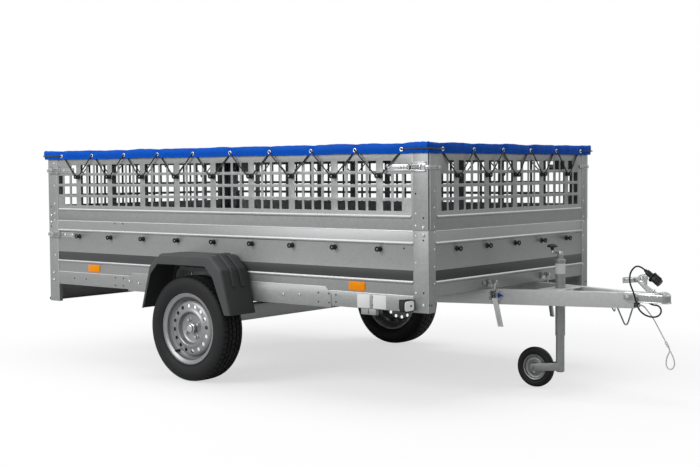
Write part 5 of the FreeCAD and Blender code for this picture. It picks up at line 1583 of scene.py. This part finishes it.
def hood():
    """The pressed hood: sides that hug the beams, a round nose, a rolled lower rim."""
    nose_x = 1760
    radius = 31
    nose = [(nose_x + radius * math.cos(a), -radius * math.sin(a)) for a in
            (math.pi / 2 - math.pi / 2 * k / 8 for k in range(9))]
    right = [(1583, -54.5), (1626, -40.2), (1655, -35), (1705, -32)] + nose
    plan = right + [(x, -y) for x, y in reversed(right[:-1])]
    piece = pulled([mm(x, y, 458) for x, y in plan], Z * 46.5 * MM)
    chosen(piece, lambda face: face.normal.z < -0.9)
    bpy.ops.mesh.delete(type="FACE")
    shaped()
    top = 504 * MM
    places = [vertex.co.copy() for vertex in piece.data.vertices]
    chosen_edges(piece, lambda edge: all(places[v].z > top for v in edge.vertices))
    bpy.ops.mesh.bevel(offset=13 * MM, segments=5, affect="EDGES")
    shaped()
    modify(piece, "SOLIDIFY", thickness=3.5 * MM, offset=-1)
    notch = side_view([(1570, 440), (1606, 440), (1600, 462), (1590, 470), (1570, 474)], -80)
    cut(piece, pulled(notch, Y * 160 * MM))
    rim_line = [mm(x, y, 459.5) for x, y in plan if x > 1620]
    rim = tube([mm(1604, -47.5, 463)] + rim_line + [mm(1604, 47.5, 463)], 3.6 * MM, 3)
    # Bright zinc on top; the lower sides take the darker sheet finish as painted shade
    painted(piece, ZINC)
    piece.data.materials.append(SHEET_STEEL)
    for face in piece.data.polygons:
        if abs(face.normal.z) < 0.5 and face.center.z < 493 * MM:
            face.material_index = 1
    nose = mm(nose_x, 0, 0)
    dome = turned([(494, 30.2), (499, 28.2), (504, 23.5), (508, 17), (510.2, 9), (510.5, 0)], nose, Z, 40)
    cup = turned([(458, 25.4), (458, 29), (486, 29), (494, 20), (498, 0), (493, 0), (489, 16),
                  (482, 25.2), (458, 25.4)], nose, Z, 40)
    ridge = turned([(503, 26), (505.6, 24.5), (505.6, 22.5), (504, 21.5)], mm(1757, 0, 0), Z, 40)
    return joined([piece, painted(joined([rim, dome, cup, ridge]), ZINC)])


def coupling_fasteners():
    """The bolts through the beams and the rivets in the hood's side."""
    side = Vector((1, BEAM_SLOPE, 0)).normalized()
    out = Vector((side.y, -side.x, 0))
    places = [facing(mm(x, beam_side(x) - 4.7, 486), out) for x in (1600, 1637)]
    dots = [facing(mm(x, -32.4, 487), -Y) for x in (1703, 1742)]
    bolts = repeated(nut_pattern(), places)
    rivets = repeated(rivet_pattern(), dots)
    in_pairs(joined([bolts, rivets]), "coupling_bolts", "chassis", RIVET_STEEL)


def coupling_hood():
    """The hood as one piece in the coupling's place."""
    finished(hood(), "coupling_hood", "chassis", None, ["coupling_head"])


def coupling_grip():
    """The cast handle with its hollow-ended grip, its pivot's eyes and the lug under it."""
    handle = from_frame("coupling_handle", 3.2 * MM, 3)
    grip = pulled(side_view([(1557, 541), (1557, 566), (1636, 575), (1636, 549)], -15),
                  Y * 30 * MM, 4 * MM, 3)
    cut(grip, block(mm(1550, -10.5, 545.5), mm(1564, 10.5, 562), 2 * MM))
    eye = [(0, 17.5), (2.2, 17.5), (3, 16.5), (3, 12.5), (1.6, 11.5), (1.6, 7), (3.4, 6), (3.4, 0)]
    eyes = repeated(button(eye, 32), [facing(mm(1654, -15, 568), -Y), facing(mm(1654, 15, 568), Y)])
    lug = pulled(side_view([(1694, 500), (1700, 514), (1716, 521), (1711, 508), (1724, 502)], -5),
                 Y * 10 * MM, 1.5 * MM)
    finished(joined([handle, grip, eyes, lug]), "coupling_grip", "chassis", ZINC,
             ["coupling_handle"])


def beam_wires():
    """The lead's wire rest and a small hook, both under the beams."""
    rest = side_view([(1541, 428), (1545, 420), (1573, 362), (1578, 352), (1585, 348.5), (1592, 352),
                      (1597, 362), (1616, 420), (1619, 428)], -33)
    finished(tube(rest, 3.8 * MM, 3, True), "rest_wire", "chassis", WIRE_STEEL,
             ["cable_rest_wire"])
    hook = side_view([(1512, 428), (1518, 420), (1524, 408), (1530, 412), (1529, 422)], -33)
    finished(tube(hook, 3 * MM, 3, True), "beam_hook", "chassis", WIRE_STEEL)


jockey_tube()
jockey_crank()
jockey_screw()
jockey_leg()
jockey_fork()
caster_wheel()
coupling_fasteners()
coupling_hood()
coupling_grip()
beam_wires()


# World, lights and floor


def studio():
    """A white surround for camera, gloss and glass, soft grey for the rest, and three soft lamps."""
    world = bpy.data.worlds.new("studio")
    bpy.context.scene.world = world
    world.use_nodes = True
    tree = world.node_tree
    tree.nodes.clear()
    path = add_node(tree, "LightPath")
    seen = add_node(tree, "Math", {0: path.outputs["Is Camera Ray"], 1: path.outputs["Is Glossy Ray"]},
                    operation="MAXIMUM")
    seen = add_node(tree, "Math", {0: seen.outputs[0], 1: path.outputs["Is Transmission Ray"]},
                    operation="MAXIMUM")
    strength = add_node(tree, "MapRange", {"Value": seen.outputs[0], "To Min": 0.34, "To Max": 1.0})
    light = add_node(tree, "Background", {"Color": ink("#FFFFFF"),
                                          "Strength": strength.outputs["Result"]})
    add_node(tree, "OutputWorld", {"Surface": light.outputs["Background"]})
    # Name, place, target, size in metres and power in watts
    lamps = [("key", (-2.2, -6.5, 3.8), (-0.6, 0, 0.7), 4.0, 310),
             ("front_fill", (7.0, 1.5, 3.0), (0.6, 0, 0.7), 2.5, 34),
             ("top", (0.1, 0.3, 6.0), (0.1, 0, 0.8), 2.6, 130)]
    for name, place, target, size, power in lamps:
        data = bpy.data.lights.new(name, "AREA")
        data.size = size
        data.energy = power
        lamp = bpy.data.objects.new(name, data)
        lamp.location = place
        lamp.rotation_euler = (Vector(target) - Vector(place)).to_track_quat("-Z", "Y").to_euler()
        bpy.context.scene.collection.objects.link(lamp)


def floor():
    """A pale floor that keeps the object's shadow and turns to plain white far from it.

    It throws less light back than it shows, as a floor in a dim room would.
    """
    radius = 30.0
    bpy.ops.object.select_all(action="DESELECT")
    bpy.ops.mesh.primitive_circle_add(vertices=96, radius=radius, fill_type="NGON", location=(0, 0, 0))
    piece = bpy.context.object
    piece.name = "studio_floor"
    material, tree, shader, place = new_material("studio_floor_paint")
    distance = add_node(tree, "VectorMath", {0: place}, operation="LENGTH")
    fade = add_node(tree, "MapRange", {"Value": distance.outputs["Value"], "From Min": 1.0, "From Max": 2.7,
                                       "To Min": 0.62})
    path = add_node(tree, "LightPath")
    share = add_node(tree, "Math", {0: fade.outputs["Result"], 1: path.outputs["Is Camera Ray"]},
                     operation="MULTIPLY")
    bright = add_node(tree, "Math", {0: path.outputs["Is Camera Ray"], 1: path.outputs["Is Glossy Ray"]},
                      operation="MAXIMUM")
    colour = add_node(tree, "Mix", {0: bright.outputs[0], 6: ink("#707070"), 7: ink("#FFFFFF")},
                      data_type="RGBA")
    linked(tree, shader, {"Base Color": colour.outputs[2], "Roughness": 1.0})
    white = add_node(tree, "Emission", {"Color": ink("#FFFFFF"), "Strength": 1.0})
    mixed = add_node(tree, "MixShader", {0: share.outputs[0], 1: shader.outputs["BSDF"],
                                         2: white.outputs["Emission"]})
    output = next(node for node in tree.nodes if node.type == "OUTPUT_MATERIAL")
    linked(tree, output, {"Surface": mixed.outputs["Shader"]})
    painted(piece, material)


studio()
floor()
bpy.context.scene.view_settings.view_transform = "Standard"
